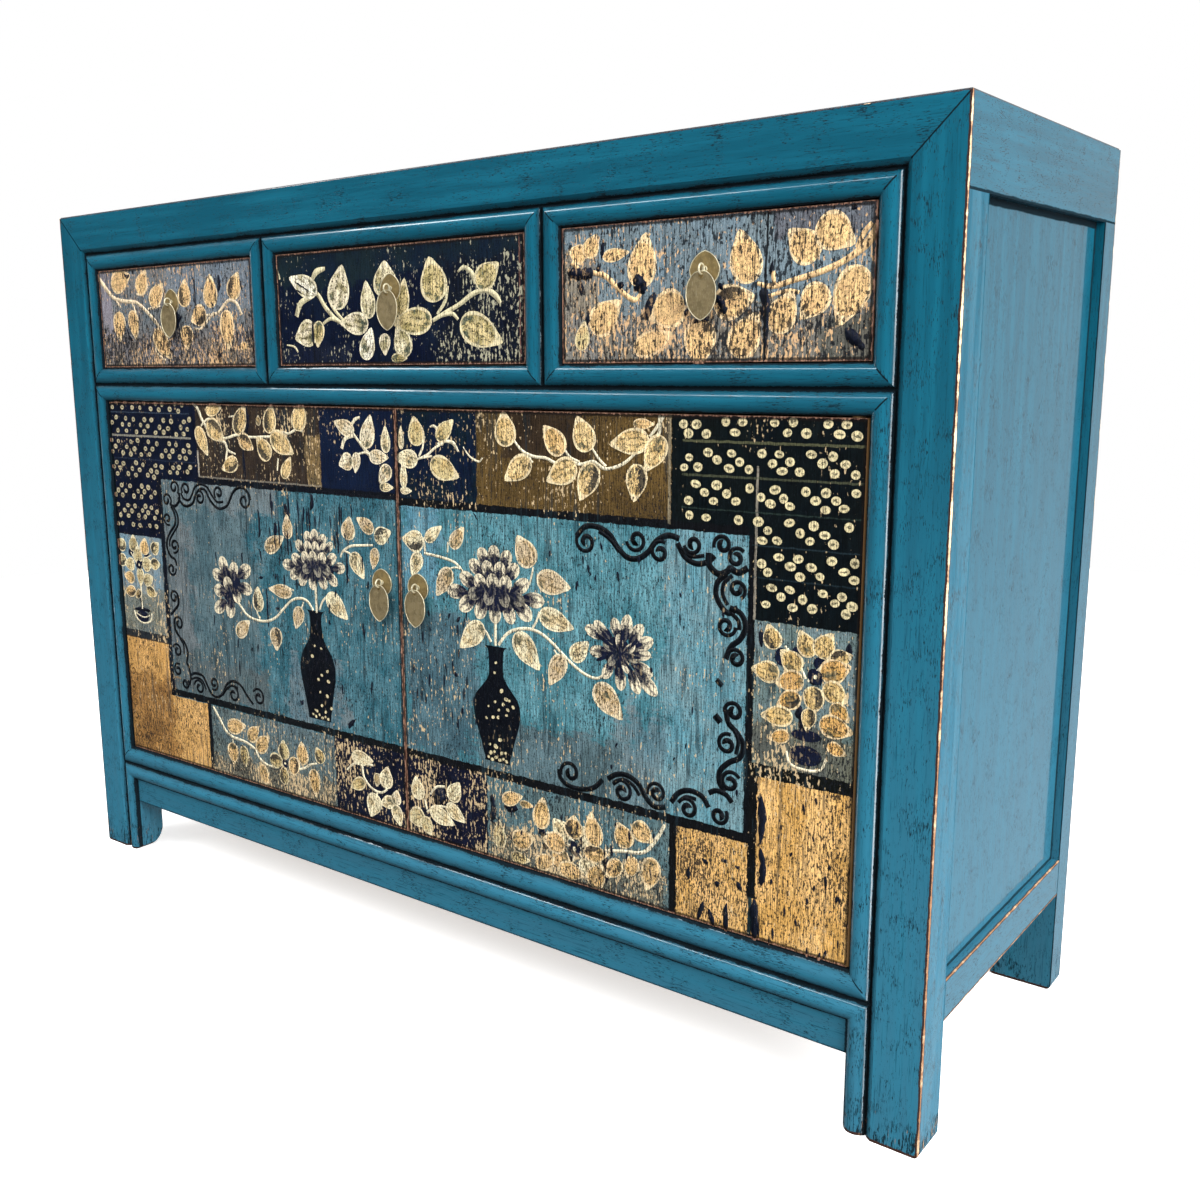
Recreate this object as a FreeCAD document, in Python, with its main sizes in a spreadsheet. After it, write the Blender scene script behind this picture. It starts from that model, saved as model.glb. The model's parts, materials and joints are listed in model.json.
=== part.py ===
import FreeCAD, Part
import os
import math
import Sketcher
from FreeCAD import Vector

os.makedirs("parts", exist_ok=True)

doc = FreeCAD.newDocument("sideboard")
sheet = doc.addObject("Spreadsheet::Sheet", "dims")

# Driving sizes in millimetres.
# X runs across the front, Y from the front to the back, Z up from the floor.
lengths = {
    "case_width": 1190,
    "case_depth": 400,
    "case_height": 860,
    # Posts and rails of the frame
    "front_post_width": 70,
    "front_post_depth": 44,
    "rear_post_width": 64,
    "rear_post_depth": 34,
    "top_rail_height": 70,
    "side_rail_width": 44,
    "drawer_opening_height": 124,
    "middle_opening_width": 356,
    "door_opening_height": 474,
    "bottom_bead_height": 24,
    "apron_height": 34,
    "apron_thickness": 14,
    "apron_setback": 8,
    # Moulding that edges every front opening
    "bead_width": 20,
    "bead_rise": 5,
    "quirk_width": 2,
    "quirk_cut": 1,
    "chamfer_width": 5,
    "chamfer_drop": 4,
    "mitre_layer": 14,
    "edge_round": 1.6,
    "foot_round": 5,
    "heel_wear": 26,
    # Tenons
    "tenon_thickness": 12,
    "tenon_length": 24,
    "tenon_setback": 8,
    "short_tenon_length": 14,
    "post_tenon_length": 30,
    "post_tenon_setback": 6,
    # Side frames and panels
    "side_rail_thickness": 30,
    "side_bottom_rail_height": 38,
    "side_bottom_rail_drop": 3,
    "side_panel_recess": 8,
    "side_panel_thickness": 12,
    "groove_depth": 6,
    "top_board_thickness": 14,
    "top_tongue_thickness": 6,
    "back_panel_thickness": 8,
    "back_panel_inset": 6,
    "middle_rear_rail_height": 66,
    # Cupboard floor and shelf
    "floor_drop": 4,
    "floor_thickness": 14,
    "floor_batten_width": 18,
    "floor_batten_height": 18,
    "shelf_height": 380,
    "shelf_thickness": 16,
    "shelf_setback": 70,
    "shelf_batten_width": 22,
    "shelf_batten_height": 18,
    # Drawers and what they run on
    "face_recess": 6,
    "drawer_gap": 1.2,
    "drawer_front_thickness": 18,
    "drawer_side_gap": 2.5,
    "drawer_side_thickness": 12,
    "drawer_side_height": 100,
    "drawer_back_thickness": 12,
    "drawer_back_drop": 6,
    "drawer_bottom_thickness": 8,
    "drawer_bottom_lift": 8,
    "drawer_groove_depth": 5,
    "runner_rise": 1,
    "runner_height": 22,
    "end_runner_reach": 30,
    "divider_runner_width": 110,
    "guide_height": 20,
    "running_gap": 0.25,
    # Doors
    "door_gap": 1.5,
    "door_thickness": 20,
    "door_edge_round": 4,
    "door_batten_height": 40,
    "door_batten_thickness": 12,
    "door_batten_inset": 40,
    "door_batten_end_gap": 22,
    "pivot_radius": 5,
    "pivot_edge_distance": 12,
    "pivot_face_distance": 8,
    "pivot_length": 12,
    "pivot_hold": 30,
    "pivot_clearance": 0.08,
    "pivot_end_gap": 0.3,
    "stop_width": 70,
    "stop_height": 14,
    # Brass pulls
    "pull_height_from_drawer_top": 45,
    "door_pull_drop": 191,
    "door_pull_edge_distance": 27,
    "plate_width": 29,
    "plate_top": 15,
    "plate_bow": 3.1,
    "door_plate_bow": 3.8,
    "plate_thickness": 1.2,
    "wire_thickness": 1.8,
    "wire_width": 1.5,
    "loop_radius": 4.3,
    "shank_width": 2.4,
    "shank_clearance": 0.2,
    "leg_length": 9,
    "leg_thickness": 1.2,
    "leaf_width": 28.6,
    "leaf_tip": 42.5,
    "leaf_top": 1,
    "leaf_shoulder_drop": 2.8,
    "leaf_shoulder_half": 5.6,
    "leaf_shoulder_bow": 0.9,
    "leaf_thickness": 1.2,
    "leaf_hole_radius": 2.6,
    "overrun": 2,
}

# Where the widest point of a leaf lies between its shoulder and its tip,
# and how far its sides bow, as shares of its width.
leaf_widest_share = 0.42
leaf_low_bow_share = 0.16
leaf_high_bow_share = 0.09

# How far a quarter circle bows out from its chord, as a share of its radius.
quarter_bow_share = 1 - math.sqrt(0.5)


class Size:
    """A length together with the formula that ties it to the sheet."""

    def __init__(self, value, text):
        self.value = float(value)
        self.text = text

    def join(self, other, sign, value):
        return Size(value, "(" + self.text + sign + words(other) + ")")

    def __add__(self, other):
        return self.join(other, " + ", self.value + number(other))

    def __radd__(self, other):
        return self + other

    def __sub__(self, other):
        return self.join(other, " - ", self.value - number(other))

    def __rsub__(self, other):
        return -self + other

    def __mul__(self, other):
        return self.join(other, " * ", self.value * number(other))

    def __rmul__(self, other):
        return self * other

    def __truediv__(self, other):
        return self.join(other, " / ", self.value / number(other))

    def __neg__(self):
        return Size(-self.value, "(-" + self.text + ")")


def number(item):
    return item.value if isinstance(item, Size) else float(item)


def words(item):
    return item.text if isinstance(item, Size) else repr(float(item))


class Named:
    """Gives each named length of the sheet as an attribute."""


named = Named()
for row, (alias, length) in enumerate(lengths.items(), start=1):
    cell = "A" + str(row)
    sheet.set(cell, str(length))
    sheet.setAlias(cell, alias)
    setattr(named, alias, Size(length, "dims." + alias))
doc.recompute()
d = named


def bind(thing, prop, size):
    """Sets a property and, where the size comes from the sheet, its formula."""
    if isinstance(size, Size):
        thing.setExpression(prop, size.text)


# Each plane gives the direction of its sketch normal along its own axis.
planes = {"XY_Plane": 1, "XZ_Plane": -1, "YZ_Plane": 1}


class Arc:
    """An edge that bows out to the left of its direction of travel, by a rise."""

    def __init__(self, rise, side=1):
        self.rise = rise
        self.side = side


def body(label):
    piece = doc.addObject("PartDesign::Body", label)
    piece.Label = label
    piece.AllowCompound = True
    piece.setExpression("Placement.Base.y", box_shift.text)
    return piece


def draw_loop(sketch, points):
    """Draws a closed outline: pairs are corners, and an Arc bows the edge that follows it."""
    corners = []
    bows = []
    for item in points:
        if isinstance(item, Arc):
            bows[-1] = item
        else:
            corners.append(item)
            bows.append(None)
    count = len(corners)
    edges = []
    for index in range(count):
        ax, ay = corners[index]
        bx, by = corners[(index + 1) % count]
        start = Vector(number(ax), number(ay), 0)
        end = Vector(number(bx), number(by), 0)
        bow = bows[index]
        if bow is None:
            edges.append((sketch.addGeometry(Part.LineSegment(start, end)), 1, 2, None))
            continue
        half = (end - start) * 0.5
        rise = number(bow.rise)
        left = Vector(-half.y, half.x, 0).normalize() * bow.side
        middle = start + half + left * rise
        arc = Part.Arc(start, middle, end)
        geo = sketch.addGeometry(arc)
        ends = (1, 2) if bow.side < 0 else (2, 1)
        chord = (bx - ax) * (bx - ax) + (by - ay) * (by - ay)
        radius = (chord / 4 + bow.rise * bow.rise) / (bow.rise * 2)
        edges.append((geo, ends[0], ends[1], radius))
    for index in range(count):
        geo, first, last, radius = edges[index]
        after, after_first, after_last, after_radius = edges[(index + 1) % count]
        sketch.addConstraint(Sketcher.Constraint("Coincident", geo, last, after, after_first))
    for index in range(count):
        geo, first, last, radius = edges[index]
        for name, place in zip(("DistanceX", "DistanceY"), corners[index]):
            mark = sketch.addConstraint(Sketcher.Constraint(name, -1, 1, geo, first, number(place)))
            bind(sketch, "Constraints[%d]" % mark, place)
        if radius is not None:
            mark = sketch.addConstraint(Sketcher.Constraint("Radius", geo, radius.value))
            bind(sketch, "Constraints[%d]" % mark, radius)


def draw_circle(sketch, centre, radius):
    cx, cy = centre
    circle = Part.Circle(Vector(number(cx), number(cy), 0), Vector(0, 0, 1), number(radius))
    geo = sketch.addGeometry(circle)
    for name, place in zip(("DistanceX", "DistanceY"), centre):
        mark = sketch.addConstraint(Sketcher.Constraint(name, -1, 1, geo, 3, number(place)))
        bind(sketch, "Constraints[%d]" % mark, place)
    mark = sketch.addConstraint(Sketcher.Constraint("Radius", geo, number(radius)))
    bind(sketch, "Constraints[%d]" % mark, radius)


def drawing(piece, plane, start, loops, circles=()):
    """A sketch parallel to one of the piece's own planes, at a given distance along its axis."""
    sketch = piece.newObject("Sketcher::SketchObject", piece.Label + "_outline")
    for feature in piece.Origin.OriginFeatures:
        if feature.Role == plane:
            sketch.AttachmentSupport = [(feature, "")]
    sketch.MapMode = "FlatFace"
    offset = start * planes[plane]
    sketch.AttachmentOffset = FreeCAD.Placement(Vector(0, 0, number(offset)), FreeCAD.Rotation())
    bind(sketch, "AttachmentOffset.Base.z", offset)
    for points in loops:
        draw_loop(sketch, points)
    for centre, radius in circles:
        draw_circle(sketch, centre, radius)
    return sketch


def add(piece, plane, start, end, loops, circles=()):
    """Extrudes outlines from one place to another along the plane's axis."""
    sketch = drawing(piece, plane, start, loops, circles)
    pad = piece.newObject("PartDesign::Pad", piece.Label + "_pad")
    pad.Profile = sketch
    pad.Length = number(end) - number(start)
    pad.Reversed = planes[plane] < 0
    bind(pad, "Length", end - start)
    sketch.Visibility = False
    return pad


def cut(piece, plane, start, end, loops, circles=()):
    """Removes outlines from one place to another along the plane's axis."""
    sketch = drawing(piece, plane, start, loops, circles)
    pocket = piece.newObject("PartDesign::Pocket", piece.Label + "_pocket")
    pocket.Profile = sketch
    pocket.Length = number(end) - number(start)
    pocket.Reversed = planes[plane] > 0
    bind(pocket, "Length", end - start)
    sketch.Visibility = False
    return pocket


def rectangle(x0, x1, y0, y1):
    return [(x0, y0), (x1, y0), (x1, y1), (x0, y1)]


def add_block(piece, x0, x1, y0, y1, z0, z1):
    return add(piece, "XY_Plane", z0, z1, [rectangle(x0, x1, y0, y1)])


def cut_block(piece, x0, x1, y0, y1, z0, z1):
    return cut(piece, "XY_Plane", z0, z1, [rectangle(x0, x1, y0, y1)])


# Levels and edges worked out from the named sizes
front_reach = d.loop_radius * 2 + d.wire_thickness + d.plate_thickness - d.face_recess
box_shift = (front_reach - d.case_depth) / 2
half_width = d.case_width / 2
open_edge = half_width - d.front_post_width
member_width = d.bead_width * 2 + d.quirk_width
arrow_reach = d.bead_width + d.quirk_width / 2
top_rail_low = d.case_height - d.top_rail_height
drawer_low = top_rail_low - d.drawer_opening_height
middle_low = drawer_low - member_width
door_low = middle_low - d.door_opening_height
bottom_tip = door_low - d.bottom_bead_height - d.quirk_width / 2
bottom_low = bottom_tip - arrow_reach
apron_low = bottom_low - d.apron_height
divider_place = d.middle_opening_width / 2 + member_width / 2
rear_face = d.case_depth - d.rear_post_depth
rear_edge = half_width - d.rear_post_width
panel_out = half_width - d.side_panel_recess
panel_in = panel_out - d.side_panel_thickness
side_rail_top = door_low - d.side_bottom_rail_drop
side_rail_low = side_rail_top - d.side_bottom_rail_height
panel_low = side_rail_top - d.groove_depth
panel_high = top_rail_low + d.groove_depth
floor_top = door_low - d.floor_drop
flat_width = d.front_post_width - d.bead_width - d.quirk_width - d.chamfer_width
quirk_floor = d.bead_rise + d.quirk_cut
tenon_back = d.front_post_depth - d.tenon_setback - d.tenon_thickness / 2
tenon_front = tenon_back - d.tenon_thickness


def bead_profile(edge, direction, depth, far, far_is_bead=False):
    """Section of a moulded member, across its face and into its depth.

    The bead starts at the opening's edge and rises to the face, then come the quirk,
    the chamfer and the flat, or a second bead where openings lie on both sides.
    """
    bead_end = edge + d.bead_width * direction
    quirk_end = bead_end + d.quirk_width * direction
    bow = Arc(d.bead_rise, 1 if direction < 0 else -1)
    if far_is_bead:
        return [(edge, depth), (edge, d.bead_rise), bow, (bead_end, d.bead_rise),
                (bead_end, quirk_floor), (quirk_end, quirk_floor), (quirk_end, d.bead_rise),
                bow, (far, d.bead_rise), (far, depth)]
    chamfer_end = quirk_end + d.chamfer_width * direction
    return [(edge, depth), (edge, d.bead_rise), bow, (bead_end, d.bead_rise),
            (bead_end, quirk_floor), (quirk_end, quirk_floor), (quirk_end, d.chamfer_drop),
            (chamfer_end, 0), (far, 0), (far, depth)]


def swap(points):
    """Turns a section over, for a sketch that measures depth along its first axis."""
    return [Arc(item.rise, -item.side) if isinstance(item, Arc) else (item[1], item[0])
            for item in points]


def round_outer_edge(piece, side):
    """Eases the upright outer edge where the front meets the side."""
    edge = half_width * side
    inner = (half_width - d.edge_round) * side
    rise = d.edge_round * quarter_bow_share
    cut(piece, "XY_Plane", -d.overrun, d.case_height + d.overrun,
        [[(edge + d.overrun * side, -d.overrun), (edge + d.overrun * side, d.edge_round),
          (edge, d.edge_round), Arc(rise, side), (inner, 0), (inner, -d.overrun)]])


def round_top_edge(piece, plane, edge, direction, start, end):
    """Eases the outer top edge of a rail."""
    rise = d.edge_round * quarter_bow_share
    top = d.case_height
    cut(piece, plane, start, end,
        [[(edge + d.overrun * direction, top + d.overrun),
          (edge + d.overrun * direction, top - d.edge_round), (edge, top - d.edge_round),
          Arc(rise, direction), (edge - d.edge_round * direction, top),
          (edge - d.edge_round * direction, top + d.overrun)]])


def round_foot(piece, edge, direction):
    """Rounds one bottom edge of a leg."""
    rise = d.foot_round * quarter_bow_share
    cut(piece, "XZ_Plane", -d.overrun, d.case_depth + d.overrun,
        [[(edge + d.overrun * direction, -d.overrun), (edge + d.overrun * direction, d.foot_round),
          (edge, d.foot_round), Arc(rise, direction), (edge - d.foot_round * direction, 0),
          (edge - d.foot_round * direction, -d.overrun)]])


def notch(piece, edge, direction, low, tip, high):
    """Cuts the arrow-shaped seat of a mitred member into the front layer of a post."""
    reach = edge + arrow_reach * direction
    back = edge - d.overrun * direction
    cut(piece, "XZ_Plane", -d.overrun, d.mitre_layer,
        [[(back, low), (edge, low), (reach, tip), (edge, high), (back, high)]])


pieces = []


def front_post(side):
    """Front post: moulded inner edge, arrow seats for the rails and a mitred top."""
    label = "post_front_" + ("left" if side < 0 else "right")
    post = body(label)
    edge = open_edge * side
    far = half_width * side
    add(post, "XY_Plane", 0 * d.overrun, d.case_height,
        [bead_profile(edge, side, d.front_post_depth, far)])
    # above the side rail's lower edge only the mitred front layer goes on
    cut_block(post, far + d.overrun * side, edge - d.overrun * side, d.mitre_layer,
              d.front_post_depth + d.overrun, top_rail_low, d.case_height + d.overrun)
    cut(post, "XZ_Plane", -d.overrun, d.front_post_depth + d.overrun,
        [[(edge, top_rail_low), (far, d.case_height), (far, d.case_height + d.overrun),
          (edge - d.overrun * side, d.case_height + d.overrun),
          (edge - d.overrun * side, top_rail_low)]])
    corner = d.mitre_layer + d.overrun
    cut(post, "XY_Plane", top_rail_low, d.case_height + d.overrun,
        [[(far, 0), (far - corner * side, corner), (far + d.overrun * side, corner),
          (far + d.overrun * side, 0)]])
    # seats of the middle rail and the bottom rail
    notch(post, edge, side, middle_low, middle_low + member_width / 2, drawer_low)
    notch(post, edge, side, bottom_low, bottom_tip, door_low)
    # mortises of the rails
    for low, high in ((middle_low, drawer_low), (bottom_low, door_low)):
        cut_block(post, edge - d.overrun * side, edge + d.tenon_length * side,
                  tenon_front, tenon_back,
                  low + d.tenon_setback, high - d.tenon_setback)
    # groove of the side panel, and the mortise of the side's bottom rail
    cut_block(post, panel_out * side, panel_in * side, d.front_post_depth - d.groove_depth,
              d.front_post_depth + d.overrun, panel_low, top_rail_low + d.overrun)
    cut_block(post, side_tenon_out * side, side_tenon_in * side,
              d.front_post_depth - d.short_tenon_length, d.front_post_depth + d.overrun,
              side_rail_low + d.tenon_setback, panel_low - d.tenon_setback / 2)
    # tenon into the side rail above
    add_block(post, post_tenon_out * side, post_tenon_in * side, post_tenon_front,
              post_tenon_front + d.tenon_thickness, top_rail_low,
              top_rail_low + d.post_tenon_length)
    round_outer_edge(post, side)
    round_foot(post, far, side)
    round_foot(post, edge, -side)
    if side < 0:
        # the left foot is worn away at its heel
        rise = d.heel_wear * quarter_bow_share
        depth = d.front_post_depth
        cut(post, "YZ_Plane", -half_width - d.overrun, -open_edge + d.overrun,
            [[(depth + d.overrun, -d.overrun), (depth + d.overrun, d.heel_wear),
              (depth, d.heel_wear), Arc(rise, 1), (depth - d.heel_wear, 0),
              (depth - d.heel_wear, -d.overrun)]])
    pieces.append(post)


side_tenon_out = panel_out - d.tenon_thickness / 4
side_tenon_in = side_tenon_out - d.tenon_thickness
post_tenon_out = half_width - d.post_tenon_setback
post_tenon_in = post_tenon_out - d.tenon_thickness
post_tenon_front = d.front_post_depth / 2


def rear_post(side):
    """Rear post: plain, with grooves for the side panel and the back."""
    label = "post_rear_" + ("left" if side < 0 else "right")
    post = body(label)
    edge = rear_edge * side
    far = half_width * side
    add_block(post, far, edge, rear_face, d.case_depth, 0 * d.overrun, top_rail_low)
    cut_block(post, panel_out * side, panel_in * side, rear_face - d.overrun,
              rear_face + d.groove_depth, panel_low, top_rail_low + d.overrun)
    cut_block(post, side_tenon_out * side, side_tenon_in * side, rear_face - d.overrun,
              rear_face + d.short_tenon_length,
              side_rail_low + d.tenon_setback, panel_low - d.tenon_setback / 2)
    cut_block(post, edge - d.overrun * side, edge + d.groove_depth * side, back_front, back_rear,
              panel_low, top_rail_low + d.overrun)
    for low, high in ((side_rail_low, panel_low), (middle_low, middle_rear_top)):
        cut_block(post, edge - d.overrun * side, edge + d.short_tenon_length * side,
                  rear_tenon_front, rear_tenon_front + d.tenon_thickness,
                  low + d.tenon_setback, high - d.tenon_setback)
    add_block(post, rear_post_tenon_out * side, rear_post_tenon_in * side,
              rear_post_tenon_front, rear_post_tenon_front + d.tenon_thickness, top_rail_low,
              top_rail_low + d.post_tenon_length)
    round_foot(post, far, side)
    round_foot(post, edge, -side)
    pieces.append(post)


back_rear = d.case_depth - d.back_panel_inset
back_front = back_rear - d.back_panel_thickness
middle_rear_top = middle_low + d.middle_rear_rail_height
rear_tenon_front = rear_face + d.tenon_thickness / 4
rear_post_tenon_front = rear_face + d.rear_post_depth / 2 - d.tenon_thickness / 2
rear_post_tenon_out = post_tenon_out
rear_post_tenon_in = post_tenon_in


def top_front_rail():
    """Moulded front rail: mitred to the posts on its face and to the side rails above."""
    rail = body("top_front_rail")
    top = d.case_height
    add(rail, "YZ_Plane", -half_width, half_width,
        [swap(bead_profile(top_rail_low, 1, d.side_rail_width, top))])
    for side in (-1, 1):
        far = half_width * side
        edge = open_edge * side
        cut(rail, "XZ_Plane", -d.overrun, d.mitre_layer,
            [[(far, top), (edge, top_rail_low), (edge, top_rail_low - d.overrun),
              (far + d.overrun * side, top_rail_low - d.overrun), (far + d.overrun * side, top)]])
        corner = d.side_rail_width + d.overrun
        cut(rail, "XY_Plane", top_rail_low - d.overrun, top + d.overrun,
            [[(far, 0), (far - corner * side, corner), (far + d.overrun * side, corner),
              (far + d.overrun * side, 0)]])
        # seat and mortise of a drawer divider
        place = divider_place * side
        half = member_width / 2
        cut(rail, "XZ_Plane", -d.overrun, d.mitre_layer,
            [[(place - half, top_rail_low - d.overrun), (place - half, top_rail_low),
              (place, top_rail_low + arrow_reach), (place + half, top_rail_low),
              (place + half, top_rail_low - d.overrun)]])
        cut_block(rail, place - d.tenon_thickness / 2, place + d.tenon_thickness / 2,
                  tenon_front, tenon_back,
                  top_rail_low - d.overrun, top_rail_low + d.short_tenon_length)
        round_outer_edge(rail, side)
    groove = half_width - d.side_rail_width + d.groove_depth
    cut_block(rail, -groove, groove, d.side_rail_width - d.groove_depth,
              d.side_rail_width + d.overrun, tongue_low, tongue_high)
    round_top_edge(rail, "YZ_Plane", 0 * d.overrun, -1, -half_width - d.overrun,
                   half_width + d.overrun)
    pieces.append(rail)


tongue_low = d.case_height - d.top_board_thickness
tongue_high = tongue_low + d.top_tongue_thickness


def top_side_rail(side):
    """Side rail of the top frame: runs over both posts, mitred to the front rail."""
    rail = body("top_side_rail_" + ("left" if side < 0 else "right"))
    far = half_width * side
    inner = (half_width - d.side_rail_width) * side
    top = d.case_height
    add(rail, "XY_Plane", top_rail_low, top,
        [[(far, 0), (inner, d.side_rail_width), (inner, d.case_depth), (far, d.case_depth)]])
    # the post's mitred layer passes in front of the rail, and the tenons come up from below
    cut_block(rail, post_tenon_out * side, post_tenon_in * side, post_tenon_front,
              post_tenon_front + d.tenon_thickness, top_rail_low - d.overrun,
              top_rail_low + d.post_tenon_length)
    cut_block(rail, rear_post_tenon_out * side, rear_post_tenon_in * side,
              rear_post_tenon_front, rear_post_tenon_front + d.tenon_thickness,
              top_rail_low - d.overrun, top_rail_low + d.post_tenon_length)
    cut_block(rail, panel_out * side, panel_in * side,
              d.front_post_depth - d.groove_depth, rear_face + d.groove_depth,
              top_rail_low - d.overrun, panel_high)
    cut_block(rail, inner - d.overrun * side, inner + d.groove_depth * side,
              d.side_rail_width - d.groove_depth, rear_face + d.groove_depth,
              tongue_low, tongue_high)
    cut_block(rail, inner - d.overrun * side, inner + d.short_tenon_length * side,
              rear_post_tenon_front, rear_post_tenon_front + d.tenon_thickness,
              top_tenon_low, top_tenon_high)
    round_outer_edge(rail, side)
    round_top_edge(rail, "XZ_Plane", far, side, -d.overrun, d.case_depth + d.overrun)
    pieces.append(rail)


top_tenon_low = top_rail_low + d.post_tenon_length + d.tenon_setback / 2
top_tenon_high = top_tenon_low + d.tenon_thickness


def top_rear_rail():
    """Rear rail of the top frame, tenoned between the side rails."""
    rail = body("top_rear_rail")
    reach = half_width - d.side_rail_width
    add_block(rail, -reach, reach, rear_face, d.case_depth, top_rail_low, d.case_height)
    add_block(rail, -reach - d.short_tenon_length, reach + d.short_tenon_length,
              rear_post_tenon_front, rear_post_tenon_front + d.tenon_thickness,
              top_tenon_low, top_tenon_high)
    cut_block(rail, -reach - d.overrun, reach + d.overrun, rear_face - d.overrun,
              rear_face + d.groove_depth, tongue_low, tongue_high)
    groove = rear_edge + d.groove_depth
    cut_block(rail, -groove, groove, back_front, back_rear, top_rail_low - d.overrun, panel_high)
    pieces.append(rail)


def top_panel():
    """Top boards: flush with the frame, with a tongue all round."""
    panel = body("top_panel")
    reach = half_width - d.side_rail_width
    add_block(panel, -reach - d.groove_depth, reach + d.groove_depth,
              d.side_rail_width - d.groove_depth, rear_face + d.groove_depth,
              tongue_low, tongue_high)
    add_block(panel, -reach, reach, d.side_rail_width, rear_face, tongue_high, d.case_height)
    pieces.append(panel)


def arrow_rail(label, low, tip, high):
    """Beaded rail whose front layer ends in points that seat in the posts."""
    rail = body(label)
    reach = open_edge + arrow_reach
    depth = d.front_post_depth
    lower_end = low + d.bead_width
    upper_start = lower_end + d.quirk_width
    lower_bow = Arc(d.bead_rise, 1)
    section = [(depth, low), (d.bead_rise, low), lower_bow, (d.bead_rise, lower_end),
               (quirk_floor, lower_end), (quirk_floor, upper_start),
               (d.bead_rise, upper_start), lower_bow, (d.bead_rise, high), (depth, high)]
    add(rail, "YZ_Plane", -reach, reach, [section])
    for side in (-1, 1):
        edge = open_edge * side
        end = reach * side
        past = end + d.overrun * side
        cut_block(rail, edge, past, d.mitre_layer, depth + d.overrun,
                  low - d.overrun, high + d.overrun)
        cut(rail, "XZ_Plane", -d.overrun, d.mitre_layer + d.overrun,
            [[(edge, high), (end, tip), (past, tip), (past, high + d.overrun),
              (edge, high + d.overrun)],
             [(edge, low), (end, tip), (past, tip), (past, low - d.overrun),
              (edge, low - d.overrun)]])
        add_block(rail, edge, edge + d.tenon_length * side, tenon_front, tenon_back,
                  low + d.tenon_setback, high - d.tenon_setback)
    pieces.append(rail)
    return rail


def middle_rail():
    """Rail between the drawers and the doors, with the seats of the dividers."""
    tip = middle_low + member_width / 2
    rail = arrow_rail("middle_rail", middle_low, tip, drawer_low)
    half = member_width / 2
    for side in (-1, 1):
        place = divider_place * side
        cut(rail, "XZ_Plane", -d.overrun, d.mitre_layer,
            [[(place - half, drawer_low + d.overrun), (place - half, drawer_low),
              (place, drawer_low - arrow_reach), (place + half, drawer_low),
              (place + half, drawer_low + d.overrun)]])
        cut_block(rail, place - d.tenon_thickness / 2, place + d.tenon_thickness / 2,
                  tenon_front, tenon_back,
                  drawer_low - d.short_tenon_length, drawer_low + d.overrun)
        pivot_socket(rail, side, middle_low - d.overrun, middle_low + socket_depth)


def pivot_socket(rail, side, start, end):
    cut(rail, "XY_Plane", start, end, [],
        [((pivot_x * side, pivot_y), d.pivot_radius + d.pivot_clearance)])


pivot_x = open_edge - d.door_gap - d.pivot_edge_distance
pivot_y = d.face_recess + d.pivot_face_distance
socket_depth = d.pivot_length + d.pivot_end_gap


def bottom_front_rail():
    """Rail below the doors: its lower bead turns down into the legs."""
    rail = arrow_rail("bottom_front_rail", bottom_low, bottom_tip, door_low)
    for side in (-1, 1):
        pivot_socket(rail, side, door_low - socket_depth, door_low + d.overrun)


def drawer_divider(side):
    """Upright between two drawers, pointed at both ends of its beaded front."""
    divider = body("drawer_divider_" + ("left" if side < 0 else "right"))
    place = divider_place * side
    half = member_width / 2
    depth = d.front_post_depth
    low = drawer_low - arrow_reach
    high = top_rail_low + arrow_reach
    add(divider, "XY_Plane", low, high,
        [bead_profile(place - half, 1, depth, place + half, True)])
    for edge, tip, outward in ((drawer_low, low, -1), (top_rail_low, high, 1)):
        past = tip + d.overrun * outward
        first, last = (past, edge) if outward < 0 else (edge, past)
        cut_block(divider, place - half - d.overrun, place + half + d.overrun,
                  d.mitre_layer, depth + d.overrun, first, last)
        left = place - half
        right = place + half
        cut(divider, "XZ_Plane", -d.overrun, d.mitre_layer + d.overrun,
            [[(left, edge), (place, tip), (place, past), (left - d.overrun, past),
              (left - d.overrun, edge)]])
        cut(divider, "XZ_Plane", -d.overrun, d.mitre_layer + d.overrun,
            [[(right, edge), (place, tip), (place, past), (right + d.overrun, past),
              (right + d.overrun, edge)]])
        end = edge + d.short_tenon_length * outward
        first, last = (end, edge) if outward < 0 else (edge, end)
        add_block(divider, place - d.tenon_thickness / 2, place + d.tenon_thickness / 2,
                  tenon_front, tenon_back, first, last)
    pieces.append(divider)


def apron():
    """Plain board set back under the bottom rail, between the legs."""
    board = body("apron")
    add_block(board, -open_edge, open_edge, d.apron_setback,
              d.apron_setback + d.apron_thickness, apron_low, bottom_low)
    pieces.append(board)


def bottom_side_rail(side):
    """Low rail of a side frame, grooved for the panel."""
    rail = body("bottom_side_rail_" + ("left" if side < 0 else "right"))
    far = half_width * side
    add_block(rail, far, (half_width - d.side_rail_thickness) * side,
              d.front_post_depth, rear_face, side_rail_low, side_rail_top)
    cut_block(rail, panel_out * side, panel_in * side, d.front_post_depth - d.overrun,
              rear_face + d.overrun, panel_low, side_rail_top + d.overrun)
    add_block(rail, side_tenon_out * side, side_tenon_in * side,
              d.front_post_depth - d.short_tenon_length, rear_face + d.short_tenon_length,
              side_rail_low + d.tenon_setback, panel_low - d.tenon_setback / 2)
    pieces.append(rail)


def side_panel(side):
    """Recessed panel of a side, held in the grooves of its frame."""
    panel = body("side_panel_" + ("left" if side < 0 else "right"))
    add_block(panel, panel_out * side, panel_in * side, d.front_post_depth - d.groove_depth,
              rear_face + d.groove_depth, panel_low, panel_high)
    pieces.append(panel)


def rear_rail(label, low, high, depth):
    """Rail between the rear posts."""
    rail = body(label)
    add_block(rail, -rear_edge, rear_edge, rear_face, depth, low, high)
    return rail


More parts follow.
